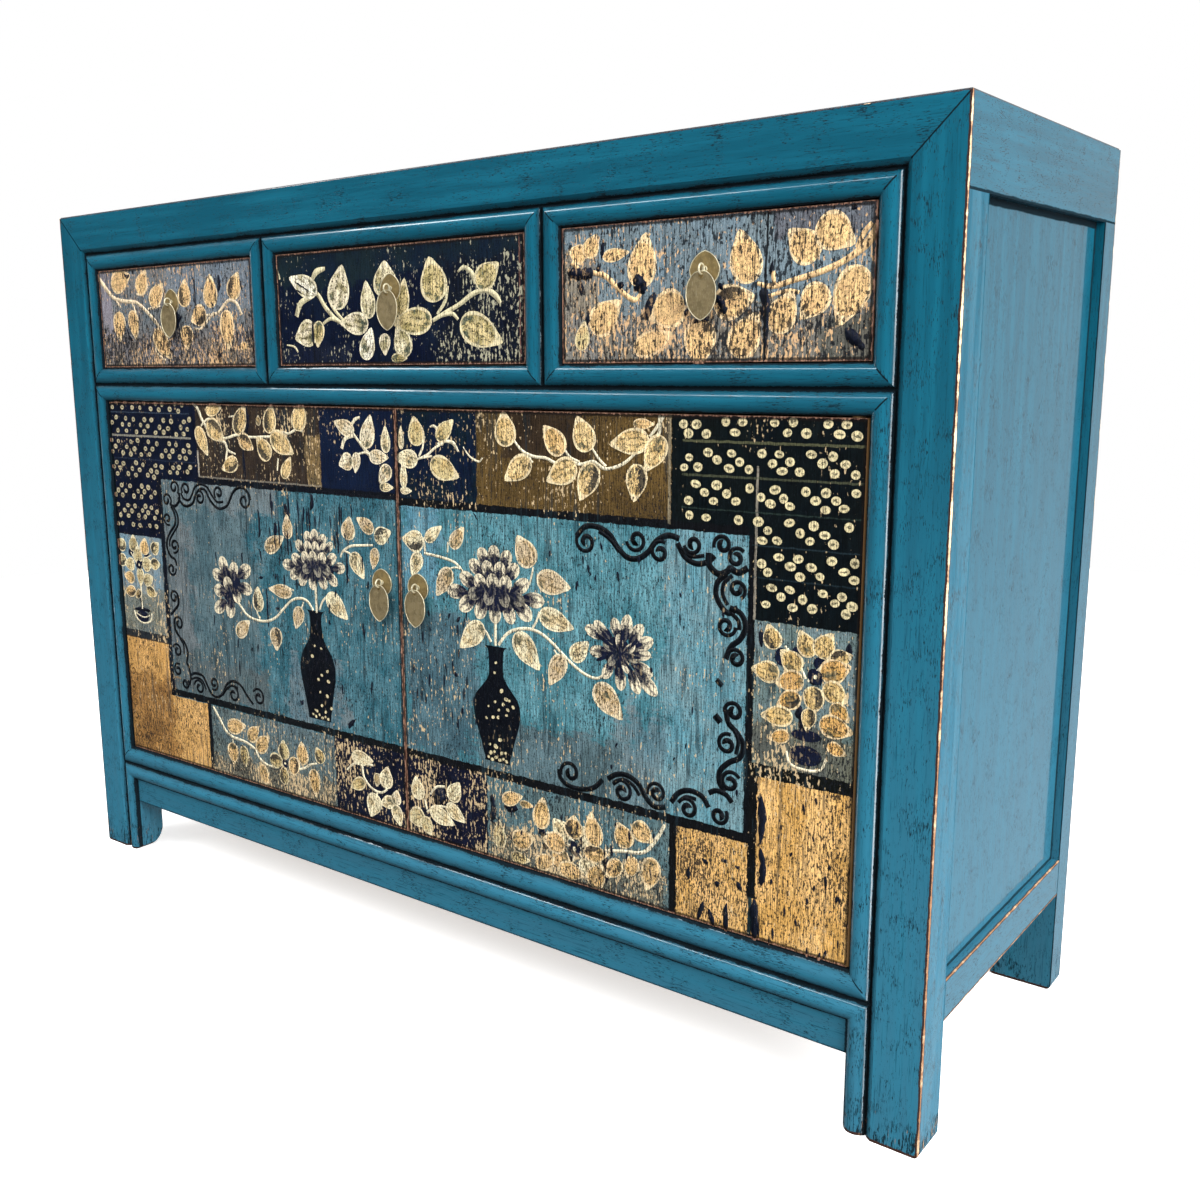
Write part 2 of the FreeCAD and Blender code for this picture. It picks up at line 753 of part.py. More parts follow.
def rear_rails_and_back():
    rail = rear_rail("bottom_rear_rail", side_rail_low, side_rail_top, d.case_depth)
    cut_block(rail, -rear_edge - d.overrun, rear_edge + d.overrun, back_front, back_rear,
              panel_low, side_rail_top + d.overrun)
    reach = rear_edge + d.short_tenon_length
    add_block(rail, -reach, reach, rear_tenon_front, rear_tenon_front + d.tenon_thickness,
              side_rail_low + d.tenon_setback, panel_low - d.tenon_setback)
    pieces.append(rail)
    rail = rear_rail("middle_rear_rail", middle_low, middle_rear_top, back_front)
    add_block(rail, -reach, reach, rear_tenon_front, rear_tenon_front + d.tenon_thickness,
              middle_low + d.tenon_setback, middle_rear_top - d.tenon_setback)
    pieces.append(rail)
    panel = body("back_panel")
    side = rear_edge + d.groove_depth
    add_block(panel, -side, side, back_front, back_rear, panel_low, panel_high)
    pieces.append(panel)


def floor_and_shelf():
    board = body("bottom_board")
    reach = half_width - d.side_rail_thickness
    low = floor_top - d.floor_thickness
    add_block(board, -reach, reach, d.front_post_depth, rear_face, low, floor_top)
    pieces.append(board)
    battens = body("cupboard_battens")
    span = open_edge - d.floor_batten_width
    add(battens, "XY_Plane", low - d.floor_batten_height, low,
        [rectangle(-span, span, d.front_post_depth, d.front_post_depth + d.floor_batten_width),
         rectangle(-span, span, rear_face - d.floor_batten_width, rear_face)])
    shelf = body("shelf")
    add_block(shelf, -panel_in, panel_in, d.shelf_setback, rear_face, d.shelf_height,
              d.shelf_height + d.shelf_thickness)
    pieces.append(shelf)
    add(battens, "XY_Plane", d.shelf_height - d.shelf_batten_height, d.shelf_height,
        [rectangle(panel_in * side, (panel_in - d.shelf_batten_width) * side,
                   d.front_post_depth, rear_face) for side in (-1, 1)])
    pieces.append(battens)


runner_top = drawer_low + d.runner_rise
drawer_floor = runner_top + d.running_gap


def runners_and_guides():
    """What the drawers slide on and between."""
    low = runner_top - d.runner_height
    runners = body("drawer_runners")
    half = d.divider_runner_width / 2
    spans = [(-panel_in, -open_edge + d.end_runner_reach),
             (-divider_place - half, -divider_place + half),
             (divider_place - half, divider_place + half),
             (open_edge - d.end_runner_reach, panel_in)]
    add(runners, "XY_Plane", low, runner_top,
        [rectangle(first, last, d.front_post_depth, rear_face) for first, last in spans])
    pieces.append(runners)
    guides = body("drawer_guides")
    beside = d.drawer_side_gap - d.running_gap
    half = member_width / 2 + beside
    spans = [(-panel_in, -open_edge + beside),
             (-divider_place - half, -divider_place + half),
             (divider_place - half, divider_place + half),
             (open_edge - beside, panel_in)]
    add(guides, "XY_Plane", runner_top, runner_top + d.guide_height,
        [rectangle(first, last, d.front_post_depth, rear_face) for first, last in spans])
    pieces.append(guides)


def door_stops():
    """Blocks behind the doors' meeting edges, under the middle rail and on the floor rail."""
    stops = body("door_stops")
    front = d.face_recess + d.door_thickness + d.pivot_end_gap
    half = d.stop_width / 2
    add_block(stops, -half, half, front, d.front_post_depth, middle_low - d.stop_height,
              middle_low)
    add_block(stops, -half, half, front, d.front_post_depth, door_low,
              door_low + d.stop_height)
    pieces.append(stops)


def drawer(name, left, right):
    """A drawer between the two edges of its opening."""
    centre = (left + right) / 2
    face = d.face_recess
    inside = face + d.drawer_front_thickness
    top = top_rail_low - d.drawer_gap
    pull_height = top_rail_low - d.pull_height_from_drawer_top
    box_left = left + d.drawer_side_gap
    box_right = right - d.drawer_side_gap
    in_left = box_left + d.drawer_side_thickness
    in_right = box_right - d.drawer_side_thickness
    groove_low = drawer_floor + d.drawer_bottom_lift
    groove_high = groove_low + d.drawer_bottom_thickness
    side_top = drawer_floor + d.drawer_side_height
    tail = rear_face - d.running_gap
    front = body("drawer_%s_front" % name)
    add_block(front, left + d.drawer_gap, right - d.drawer_gap, face, inside,
              drawer_low + d.drawer_gap, top)
    cut_block(front, in_left - d.drawer_groove_depth, in_right + d.drawer_groove_depth,
              inside - d.drawer_groove_depth, inside + d.overrun, groove_low, groove_high)
    shank_hole(front, centre, pull_height, face - d.overrun, inside + d.overrun)
    pieces.append(front)
    sides = body("drawer_%s_sides" % name)
    add(sides, "XZ_Plane", inside, tail,
        [[(box_left, drawer_floor), (in_left, drawer_floor), (in_left, groove_low),
          (in_left - d.drawer_groove_depth, groove_low),
          (in_left - d.drawer_groove_depth, groove_high), (in_left, groove_high),
          (in_left, side_top), (box_left, side_top)],
         [(box_right, drawer_floor), (in_right, drawer_floor), (in_right, groove_low),
          (in_right + d.drawer_groove_depth, groove_low),
          (in_right + d.drawer_groove_depth, groove_high), (in_right, groove_high),
          (in_right, side_top), (box_right, side_top)]])
    pieces.append(sides)
    back = body("drawer_%s_back" % name)
    add_block(back, in_left, in_right, tail - d.drawer_back_thickness, tail, groove_high,
              side_top - d.drawer_back_drop)
    pieces.append(back)
    bottom = body("drawer_%s_bottom" % name)
    add_block(bottom, in_left - d.drawer_groove_depth, in_right + d.drawer_groove_depth,
              inside - d.drawer_groove_depth, tail, groove_low, groove_high)
    pieces.append(bottom)
    pull("drawer_%s" % name, centre, pull_height, inside, d.plate_bow)


def shank_hole(piece, x, z, start, end):
    half = d.shank_width / 2 + d.shank_clearance
    cut_block(piece, x - half, x + half, start, end, z - half, z + half)


def door(side):
    """A board door that turns on pins let into its top and bottom ends."""
    name = "left" if side < 0 else "right"
    outer = (open_edge - d.door_gap) * side
    inner = d.door_gap / 2 * side
    low = door_low + d.door_gap
    high = middle_low - d.door_gap
    face = d.face_recess
    back = face + d.door_thickness
    rise = d.door_edge_round * quarter_bow_share
    boards = body("door_%s_boards" % name)
    add(boards, "XY_Plane", low, high,
        [[(inner, face), (outer - d.door_edge_round * side, face), Arc(rise, -side),
          (outer, face + d.door_edge_round), (outer, back), (inner, back)]])
    hole = [((pivot_x * side, pivot_y), d.pivot_radius + d.pivot_clearance)]
    cut(boards, "XY_Plane", low - d.overrun, low + d.pivot_hold, [], hole)
    cut(boards, "XY_Plane", high - d.pivot_hold, high + d.overrun, [], hole)
    pull_x = d.door_pull_edge_distance * side
    pull_z = middle_low - d.door_pull_drop
    shank_hole(boards, pull_x, pull_z, face - d.overrun, back + d.overrun)
    pieces.append(boards)
    battens = body("door_%s_battens" % name)
    first = inner + d.door_batten_end_gap * side + d.stop_width / 2 * side
    last = outer - d.door_batten_end_gap * side
    lower = low + d.door_batten_inset
    upper = high - d.door_batten_inset
    add_block(battens, first, last, back, back + d.door_batten_thickness, lower,
              lower + d.door_batten_height)
    add_block(battens, first, last, back, back + d.door_batten_thickness,
              upper - d.door_batten_height, upper)
    pieces.append(battens)
    pivots = body("door_%s_pivots" % name)
    pin = [((pivot_x * side, pivot_y), d.pivot_radius)]
    add(pivots, "XY_Plane", door_low - d.pivot_length, low + d.pivot_hold, [], pin)
    add(pivots, "XY_Plane", high - d.pivot_hold, middle_low + d.pivot_length, [], pin)
    pieces.append(pivots)
    pull("door_%s" % name, pull_x, pull_z, back, d.door_plate_bow)


def pull(name, x, z, clench, point_bow):
    """Brass pull: a plate, a split pin that ends in an eye, and a leaf hung in the eye."""
    face = d.face_recess
    plate = body(name + "_plate")
    half = d.plate_width / 2
    front = face - d.plate_thickness
    lower_bow = half * quarter_bow_share
    add(plate, "XZ_Plane", front, face,
        [[(x - half, z), Arc(point_bow, 1), (x, z + d.plate_top), Arc(point_bow, 1),
          (x + half, z), Arc(lower_bow, 1), (x, z - half), Arc(lower_bow, 1)]])
    shank_hole(plate, x, z, front - d.overrun, face + d.overrun)
    pieces.append(plate)
    pin = body(name + "_pin")
    eye_y = front - d.loop_radius - d.wire_thickness / 2
    inner = d.loop_radius - d.wire_thickness / 2
    outer = d.loop_radius + d.wire_thickness / 2
    add(pin, "YZ_Plane", x - d.wire_width / 2, x + d.wire_width / 2, [],
        [((eye_y, z), outer), ((eye_y, z), inner)])
    half = d.shank_width / 2
    add_block(pin, x - half, x + half, eye_y + d.loop_radius, clench + d.leg_thickness,
              z - half, z + half)
    add_block(pin, x - half, x + half, clench, clench + d.leg_thickness,
              z - d.leg_length, z + d.leg_length)
    pieces.append(pin)
    leaf = body(name + "_leaf")
    hole_z = z - inner + d.running_gap - d.leaf_hole_radius
    half = d.leaf_width / 2
    shoulder = z - d.leaf_shoulder_drop
    tip = z - d.leaf_tip
    widest = shoulder - (shoulder - tip) * leaf_widest_share
    small = d.leaf_shoulder_half
    add(leaf, "XZ_Plane", eye_y - d.leaf_thickness / 2, eye_y + d.leaf_thickness / 2,
        [[(x, tip), Arc(leaf_low_bow, 1), (x - half, widest), Arc(leaf_high_bow, 1),
          (x - small, shoulder), Arc(d.leaf_shoulder_bow, 1), (x + small, shoulder),
          Arc(leaf_high_bow, 1), (x + half, widest), Arc(leaf_low_bow, 1)]],
        [((x, hole_z), d.leaf_hole_radius)])
    pieces.append(leaf)


leaf_low_bow = d.leaf_width * leaf_low_bow_share
leaf_high_bow = d.leaf_width * leaf_high_bow_share

front_post(-1)
front_post(1)
rear_post(-1)
rear_post(1)
top_front_rail()
top_rear_rail()
top_side_rail(-1)
top_side_rail(1)
top_panel()
middle_rail()
drawer_divider(-1)
drawer_divider(1)
bottom_front_rail()
apron()
bottom_side_rail(-1)
bottom_side_rail(1)
side_panel(-1)
side_panel(1)
rear_rails_and_back()
floor_and_shelf()
runners_and_guides()
door_stops()
middle_edge = d.middle_opening_width / 2
outer_edge = middle_edge + member_width
drawer("left", -open_edge, -outer_edge)
drawer("middle", -middle_edge, middle_edge)
drawer("right", outer_edge, open_edge)
door(-1)
door(1)

doc.recompute()

faults = [thing.Name for thing in doc.Objects
          if "Invalid" in thing.State or "Error" in thing.State]
for piece in pieces:
    shape = piece.Shape
    if shape.isNull() or not shape.isValid():
        faults.append(piece.Label)
if faults:
    raise RuntimeError("failed pieces: " + ", ".join(faults))

for piece in pieces:
    piece.Shape.exportStep("parts/" + piece.Label + ".step")
    print(piece.Label, len(piece.Shape.Solids), round(piece.Shape.Volume))
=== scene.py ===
import json
import math
import random
from types import SimpleNamespace

import bpy
from mathutils import Matrix, Vector

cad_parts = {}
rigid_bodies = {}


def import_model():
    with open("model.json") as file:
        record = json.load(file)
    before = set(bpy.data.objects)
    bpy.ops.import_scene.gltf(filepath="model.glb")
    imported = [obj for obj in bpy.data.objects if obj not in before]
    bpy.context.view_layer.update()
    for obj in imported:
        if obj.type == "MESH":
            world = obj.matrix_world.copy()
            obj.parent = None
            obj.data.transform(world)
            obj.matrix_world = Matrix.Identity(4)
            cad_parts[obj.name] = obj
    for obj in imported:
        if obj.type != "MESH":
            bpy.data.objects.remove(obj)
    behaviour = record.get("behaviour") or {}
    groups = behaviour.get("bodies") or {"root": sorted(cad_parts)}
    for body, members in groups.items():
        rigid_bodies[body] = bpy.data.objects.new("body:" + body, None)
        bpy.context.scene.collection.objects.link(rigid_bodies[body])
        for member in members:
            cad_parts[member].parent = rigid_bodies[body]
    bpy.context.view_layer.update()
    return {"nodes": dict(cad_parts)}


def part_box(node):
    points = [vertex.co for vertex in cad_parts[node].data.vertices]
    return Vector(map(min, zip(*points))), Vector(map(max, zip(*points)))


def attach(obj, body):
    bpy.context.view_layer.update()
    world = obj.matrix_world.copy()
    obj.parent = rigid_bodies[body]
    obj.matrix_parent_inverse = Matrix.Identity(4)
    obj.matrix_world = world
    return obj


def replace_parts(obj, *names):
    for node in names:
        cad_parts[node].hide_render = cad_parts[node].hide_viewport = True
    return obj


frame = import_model()
nodes = frame["nodes"]
mm = 0.001
frontPlane = -0.1972      # the flat front of posts and rails
sides = ("left", "right")
drawers = ("left", "middle", "right")
pulls = ["drawer_" + which for which in drawers] + ["door_" + side for side in sides]


def paint(code):  # a screen colour as linear light
    parts = [int(code[i:i + 2], 16) / 255 for i in (0, 2, 4)]
    return tuple(p / 12.92 if p <= 0.04045 else ((p + 0.055) / 1.055) ** 2.4 for p in parts) + (1.0,)


def linked(name, data):
    thing = bpy.data.objects.new(name, data)
    bpy.context.scene.collection.objects.link(thing)
    return thing


# shader maths as expressions

class Wire:
    def __init__(self, kit, socket):
        self.kit, self.socket = kit, socket

    def __add__(self, other):
        return self.kit.maths("ADD", self, other)

    def __radd__(self, other):
        return self.kit.maths("ADD", other, self)

    def __sub__(self, other):
        return self.kit.maths("SUBTRACT", self, other)

    def __rsub__(self, other):
        return self.kit.maths("SUBTRACT", other, self)

    def __mul__(self, other):
        return self.kit.maths("MULTIPLY", self, other)

    def __rmul__(self, other):
        return self.kit.maths("MULTIPLY", other, self)

    def __truediv__(self, other):
        return self.kit.maths("DIVIDE", self, other)

    def __gt__(self, other):
        return self.kit.maths("GREATER_THAN", self, other)

    def __lt__(self, other):
        return self.kit.maths("LESS_THAN", self, other)

    def __abs__(self):
        return self.kit.maths("ABSOLUTE", self)


class Kit:
    def __init__(self, name, tree=None):
        if tree is None:
            self.material = bpy.data.materials.new(name)
            self.material.use_nodes = True
            tree = self.material.node_tree
        self.tree = tree
        self.tree.nodes.clear()

    def node(self, kind, settings=None, sockets=None, out=0):
        made = self.tree.nodes.new(kind)
        for key, value in (settings or {}).items():
            setattr(made, key, value)
        for key, value in (sockets or {}).items():
            if isinstance(value, Wire):
                self.tree.links.new(value.socket, made.inputs[key])
            else:
                made.inputs[key].default_value = value
        return Wire(self, made.outputs[out])

    def maths(self, operation, a, b=None):
        return self.node("ShaderNodeMath", {"operation": operation}, {0: a} if b is None else {0: a, 1: b})

    def most(self, first, *rest):
        for value in rest:
            first = self.maths("MAXIMUM", first, value)
        return first

    def least(self, first, *rest):
        for value in rest:
            first = self.maths("MINIMUM", first, value)
        return first

    def part(self, vector, axis):
        return self.node("ShaderNodeSeparateXYZ", sockets={"Vector": vector}, out=axis)

    def vector(self, x=0.0, y=0.0, z=0.0):
        return self.node("ShaderNodeCombineXYZ", sockets={"X": x, "Y": y, "Z": z})

    def place(self):  # millimetres in the shared frame
        at = self.node("ShaderNodeTexCoord", out="Object")
        return tuple(self.part(at, axis) * 1000 for axis in "XYZ")

    def blend(self, factor, a, b):
        return self.node("ShaderNodeMix", {"data_type": "RGBA"}, {0: factor, 6: a, 7: b}, out=2)

    def scaled(self, colour, factor):
        return self.node("ShaderNodeVectorMath", {"operation": "SCALE"}, {0: colour, 3: factor})

    def step(self, value, low, high):  # 0 below low, 1 above high
        return self.node("ShaderNodeMapRange", {"interpolation_type": "SMOOTHSTEP"},
                         {"Value": value, "From Min": low, "From Max": high})

    def noise(self, x, y, z, detail, rough, seed):  # flat for the boards, where y is 0
        if isinstance(y, Wire):
            at, size = self.vector(x + seed * 7.3, y, z), "3D"
        else:
            at, size = self.vector(x + seed * 7.3, z), "2D"
        return self.node("ShaderNodeTexNoise", {"noise_dimensions": size},
                         {"Vector": at, "Scale": 1.0, "Detail": detail, "Roughness": rough})

    def cloud(self, place, sizes, *settings):  # noise with its own size along each axis
        return self.noise(*(part * size for part, size in zip(place, sizes)), *settings)

    def within(self, value, low, high):
        return (value > low) * (value < high)

    def attribute(self, name, out="Fac"):
        return self.node("ShaderNodeAttribute", {"attribute_name": name}, out=out)

    def show(self, shader, kind="ShaderNodeOutputMaterial"):
        self.tree.links.new(shader.socket, self.tree.nodes.new(kind).inputs["Surface"])

    def finish(self, colour, roughness, bump, bumpDepth, metallic=0.0, coat=0.0, coatRoughness=0.1, specular=0.5):
        relief = self.node("ShaderNodeBump", sockets={
            "Height": bump, "Strength": 1.0, "Distance": bumpDepth}, out="Normal")
        self.show(self.node("ShaderNodeBsdfPrincipled", sockets={
            "Base Color": colour, "Roughness": roughness, "Metallic": metallic, "Coat Weight": coat,
            "Coat Roughness": coatRoughness, "Specular IOR Level": specular, "Normal": relief}))
        return self.material


def alongGrain(grain, along, across):  # noise sizes for a grain that runs along one axis
    return tuple(along if axis == grain else across for axis in "xyz")


# camera, lamps and floor

cameraPlan = {
    "place": (0.93729, -1.15084, 0.67927),
    "right": (0.77235283, 0.63498315, -0.01635530),
    "down": (0.10950360, -0.15846787, -0.98127310),
    "forward": (-0.62568368, 0.75609809, -0.19192605),
    "lens": 37.69, "sensor": 36.0, "shift": (0.08127, -0.00248), "clip": (0.02, 60.0),
}


def setCamera(plan):
    data = bpy.data.cameras.new("camera")
    data.lens, data.sensor_width = plan["lens"], plan["sensor"]
    data.shift_x, data.shift_y = plan["shift"]
    data.clip_start, data.clip_end = plan["clip"]
    right, up, back = Vector(plan["right"]), -Vector(plan["down"]), -Vector(plan["forward"])
    turn = Matrix((right, up, back)).transposed().to_4x4()
    camera = linked("camera", data)
    camera.matrix_world = Matrix.Translation(plan["place"]) @ turn
    bpy.context.scene.camera = camera


lightPlan = {
    "sky": 1.0,
    "skyBelow": (-0.3, 0.2, 0.3),      # dims between these heights down to this share, so that undersides stay dark
    "shine": (0.08, 0.55),             # what gloss sees: in front of the object, and beside and above it
    "shineSide": (0.9, 0.6), "shineSpan": (-0.1, 0.7),
    "strip": 15.0,                     # two long soft boxes that only draw the lines of light along the beads
    "highStrip": {"height": 0.66, "edge": (0.04, 0.02), "ends": (0.2, -0.1)},
    "sideStrip": {"slope": 0.58, "edge": (0.14, 0.09), "ends": (0.7, 0.4), "leastX": 0.05},
    "lamps": {  # place, size, power
        "lampFrontLeft": ((-1.9, -2.6, 2.6), 1.6, 70),
        "lampRight": ((3.2, -0.9, 1.9), 2.4, 264),
        "lampAbove": ((0.2, -0.4, 3.4), 2.6, 47),
    },
    "aim": (0.0, 0.0, 0.4),
    "floor": {"tone": 0.9, "lift": 0.5, "reach": 2.9, "corners": 96},
}


def setLight(plan):
    world = bpy.data.worlds.new("studio")
    world.use_nodes = True
    kit = Kit("studio", world.node_tree)
    seen = kit.node("ShaderNodeLightPath", out="Is Camera Ray")
    gloss = kit.most(*(kit.node("ShaderNodeLightPath", out=ray) for ray in ("Is Glossy Ray", "Is Transmission Ray")))
    towards = kit.node("ShaderNodeTexCoord", out="Generated")
    tx, ty, tz = (kit.part(towards, axis) for axis in "XYZ")
    low, high = plan["shine"]
    shine = kit.step(tx * plan["shineSide"][0] + ty * plan["shineSide"][1], *plan["shineSpan"]) * (high - low) + low
    strip = plan["highStrip"]
    shine = shine + kit.step(abs(tz - strip["height"]), *strip["edge"]) * kit.step(ty, *strip["ends"]) * plan["strip"]
    strip = plan["sideStrip"]
    slope = ty / kit.most(tx, strip["leastX"])
    sideways = kit.step(abs(slope + strip["slope"]), *strip["edge"]) * kit.step(abs(tz), *strip["ends"])
    shine = shine + sideways * plan["strip"]
    low, high, share = plan["skyBelow"]
    sky = (kit.step(tz, low, high) * (1 - share) + share) * plan["sky"]
    strength = kit.most(seen, gloss * shine + (1.0 - gloss) * sky)
    light = kit.node("ShaderNodeBackground", sockets={"Color": (1, 1, 1, 1), "Strength": strength})
    kit.show(light, "ShaderNodeOutputWorld")
    bpy.context.scene.world = world
    for name, (place, size, power) in plan["lamps"].items():
        data = bpy.data.lights.new(name, "AREA")
        data.shape, data.size, data.energy = "SQUARE", size, power
        lamp = linked(name, data)
        lamp.visible_glossy = False
        lamp.location = place
        lamp.rotation_mode = "QUATERNION"
        lamp.rotation_quaternion = (Vector(plan["aim"]) - Vector(place)).to_track_quat("-Z", "Y")


def makeFloor(plan):
    mesh = bpy.data.meshes.new("studioFloor")
    count, reach, tone = plan["corners"], plan["reach"], plan["tone"]
    turns = [i * 2 * math.pi / count for i in range(count)]
    mesh.from_pydata([(reach * math.cos(t), reach * math.sin(t), 0) for t in turns], [], [tuple(range(count))])
    floor = linked("studioFloor", mesh)
    kit = Kit("paleFloor")
    matt = kit.node("ShaderNodeBsdfDiffuse", sockets={"Color": (tone, tone, tone, 1)})
    seen = kit.node("ShaderNodeLightPath", out="Is Camera Ray")
    glow = kit.node("ShaderNodeEmission", sockets={"Color": (1, 1, 1, 1), "Strength": seen * plan["lift"]})
    kit.show(kit.node("ShaderNodeAddShader", sockets={0: matt, 1: glow}))
    mesh.materials.append(kit.material)
    floor.visible_glossy = floor.visible_diffuse = False


setCamera(cameraPlan)
setLight(lightPlan)
makeFloor(lightPlan["floor"])
bpy.context.scene.view_settings.view_transform = "Standard"
print("camera, lamps and floor are set")


# blue lacquer over softwood, rubbed through along the arrises

lacquerPlan = {
    # the top tone is darker and the low one paler: a painted reflection of the floor, stronger towards the feet
    "top": "03475a", "low": "2c647a", "shade": "053140", "lift": "13748e", "glazeAndShade": "0a1217", "speck": "0a222c",
    # the paler of the bare tones is partly worn wood and partly a painted highlight on the upper arrises
    "bare": ("9a7052", "efd2ab"), "bareRim": "35211a",
    "roughness": 0.42, "coat": 0.75, "coatRoughness": 0.05, "specular": 0.15, "relief": 0.0001,
    "halfWidth": 595.0, "front": frontPlane / mm, "rear": 202.8, "height": 860.0,
    "paintedSheenHeights": (780.0, 60.0),                     # painted reflection: from the darker top tone to the paler low one between these heights, in place of the floor's reflection
    "shadeEdge": (0.47, 0.3), "poreEdge": (0.615, 0.665), "paleWearAndHighlightEdge": (0.4, 0.62),
    "bead": 9.5,                                # how far the bead and its quirk lie behind the flat front
    "openings": (525.0, 220.0, 178.0),          # half widths: outer edge, and the two edges of an upright
    "levels": (790.0, 666.0, 624.0, 150.0),     # edges of the openings from the top down
    "mitre": 21.0, "drawersFrom": 645.0,        # how far a mitre reaches, and where the drawers begin
    # depths behind the flat front: past the first pair the quirks are black, partly glaze and partly painted shade;
    # over the second pair the beads darken as painted shade
    "glazeAndShadeDepth": (3.2, 3.8), "paintedBeadShade": (0.4, 4.0),
    "worn": (0.75, 1.05, 1.9),                  # least, usual and greatest width of the rubbed arris
    "rim": 1.6,                                 # and of the dark rim beside it
    "arrisHighlightHeights": (180.0, 620.0),                  # painted highlight: the arrises are paler above these heights and browner below
    "foot": (55.0, 4.0), "footSides": (75.0, 30.0), "sole": 1.6, "footDark": (0.63, 0.68), "footBare": (0.74, 0.77),
}
lacquerNoise = {  # along and across the grain, detail, roughness, seed
    "fine": (0.03, 0.7, 3.0, 0.65, 1.0), "wide": (0.006, 0.11, 2.0, 0.55, 4.0),
    "pore": (0.2, 1.5, 2.0, 0.6, 21.0), "claw": (0.12, 0.9, 2.0, 0.6, 27.0),
    "ragged": (0.045, 0.045, 4.0, 0.7, 31.0), "tight": (0.5, 0.5, 2.0, 0.6, 33.0),
}


def arrisWear(kit, n, place, ledges):  # bare wood along the outer arrises, and the dark rim beside it
    x, y, z = place
    plan = lacquerPlan
    side, face, top = plan["halfWidth"] - abs(x), y - plan["front"], plan["height"] - z
    least, usual, greatest = plan["worn"]
    reach = kit.least(kit.most(usual + (n.ragged - 0.5) * 3.0 + (n.tight - 0.5) * 0.8, least), greatest)
    arris = kit.most(abs(side), abs(face))
    bare = arris < reach
    rim = (arris < (reach + plan["rim"])) * (0.5 + 0.45 * (abs(face) < 0.3))   # darker on the front
    crown = kit.least(kit.most(abs(face), top), kit.most(side, top), kit.most(abs(side), abs(plan["rear"] - y)))
    crownRim = crown < (1.7 + (n.tight - 0.5) * 1.8)
    crowned = crown < ((n.ragged - 0.5) * 6.0)
    for level in ledges:
        ledge = kit.most(side, abs(z - level))
        crowned = kit.most(crowned, ledge < (reach - 0.2))
        crownRim = kit.most(crownRim, ledge < (reach + 1.0))
    return kit.most(bare, crowned), kit.most(rim, crownRim * 0.8)


def quirkGlazeAndShade(kit, n, ax, face, z):  # black in the quirks, partly glaze and partly painted shade, dark joints in the mitres, and painted shade on the beads towards the quirks
    plan = lacquerPlan
    outer, uprightOuter, uprightInner = plan["openings"]
    crown, drawerFoot, doorHead, doorFoot = plan["levels"]
    deep = kit.within(face, 0.3, plan["bead"]) * (plan["halfWidth"] - ax > plan["bead"])
    soft = kit.step(face + (n.ragged - 0.5) * 3.6 + (n.tight - 0.5) * 2.0, *plan["glazeAndShadeDepth"])
    # painted shade: the beads darken the deeper they lie towards the quirks
    shade = 1.12 - deep * kit.step(face, *plan["paintedBeadShade"]) * 0.6
    onRails = kit.most(z > crown, kit.within(z, doorHead, drawerFoot), z < doorFoot)
    near = kit.least(*(abs(z - level) for level in plan["levels"]))
    outerMitre = abs((ax - outer) - near) < (0.55 + n.tight * 0.8)
    outerMitre = outerMitre * (ax > outer) * onRails * kit.most(z > crown, near < plan["mitre"])
    nearTop = kit.least(abs(z - crown), abs(z - drawerFoot))
    between = kit.least(ax - uprightInner, uprightOuter - ax)
    innerMitre = (abs(between - nearTop) < (0.45 + n.tight * 0.7)) * (between > 0.0)
    innerMitre = innerMitre * onRails * (z > plan["drawersFrom"])
    return kit.most(deep * soft, kit.most(outerMitre, innerMitre) * (face < 1.0)), shade


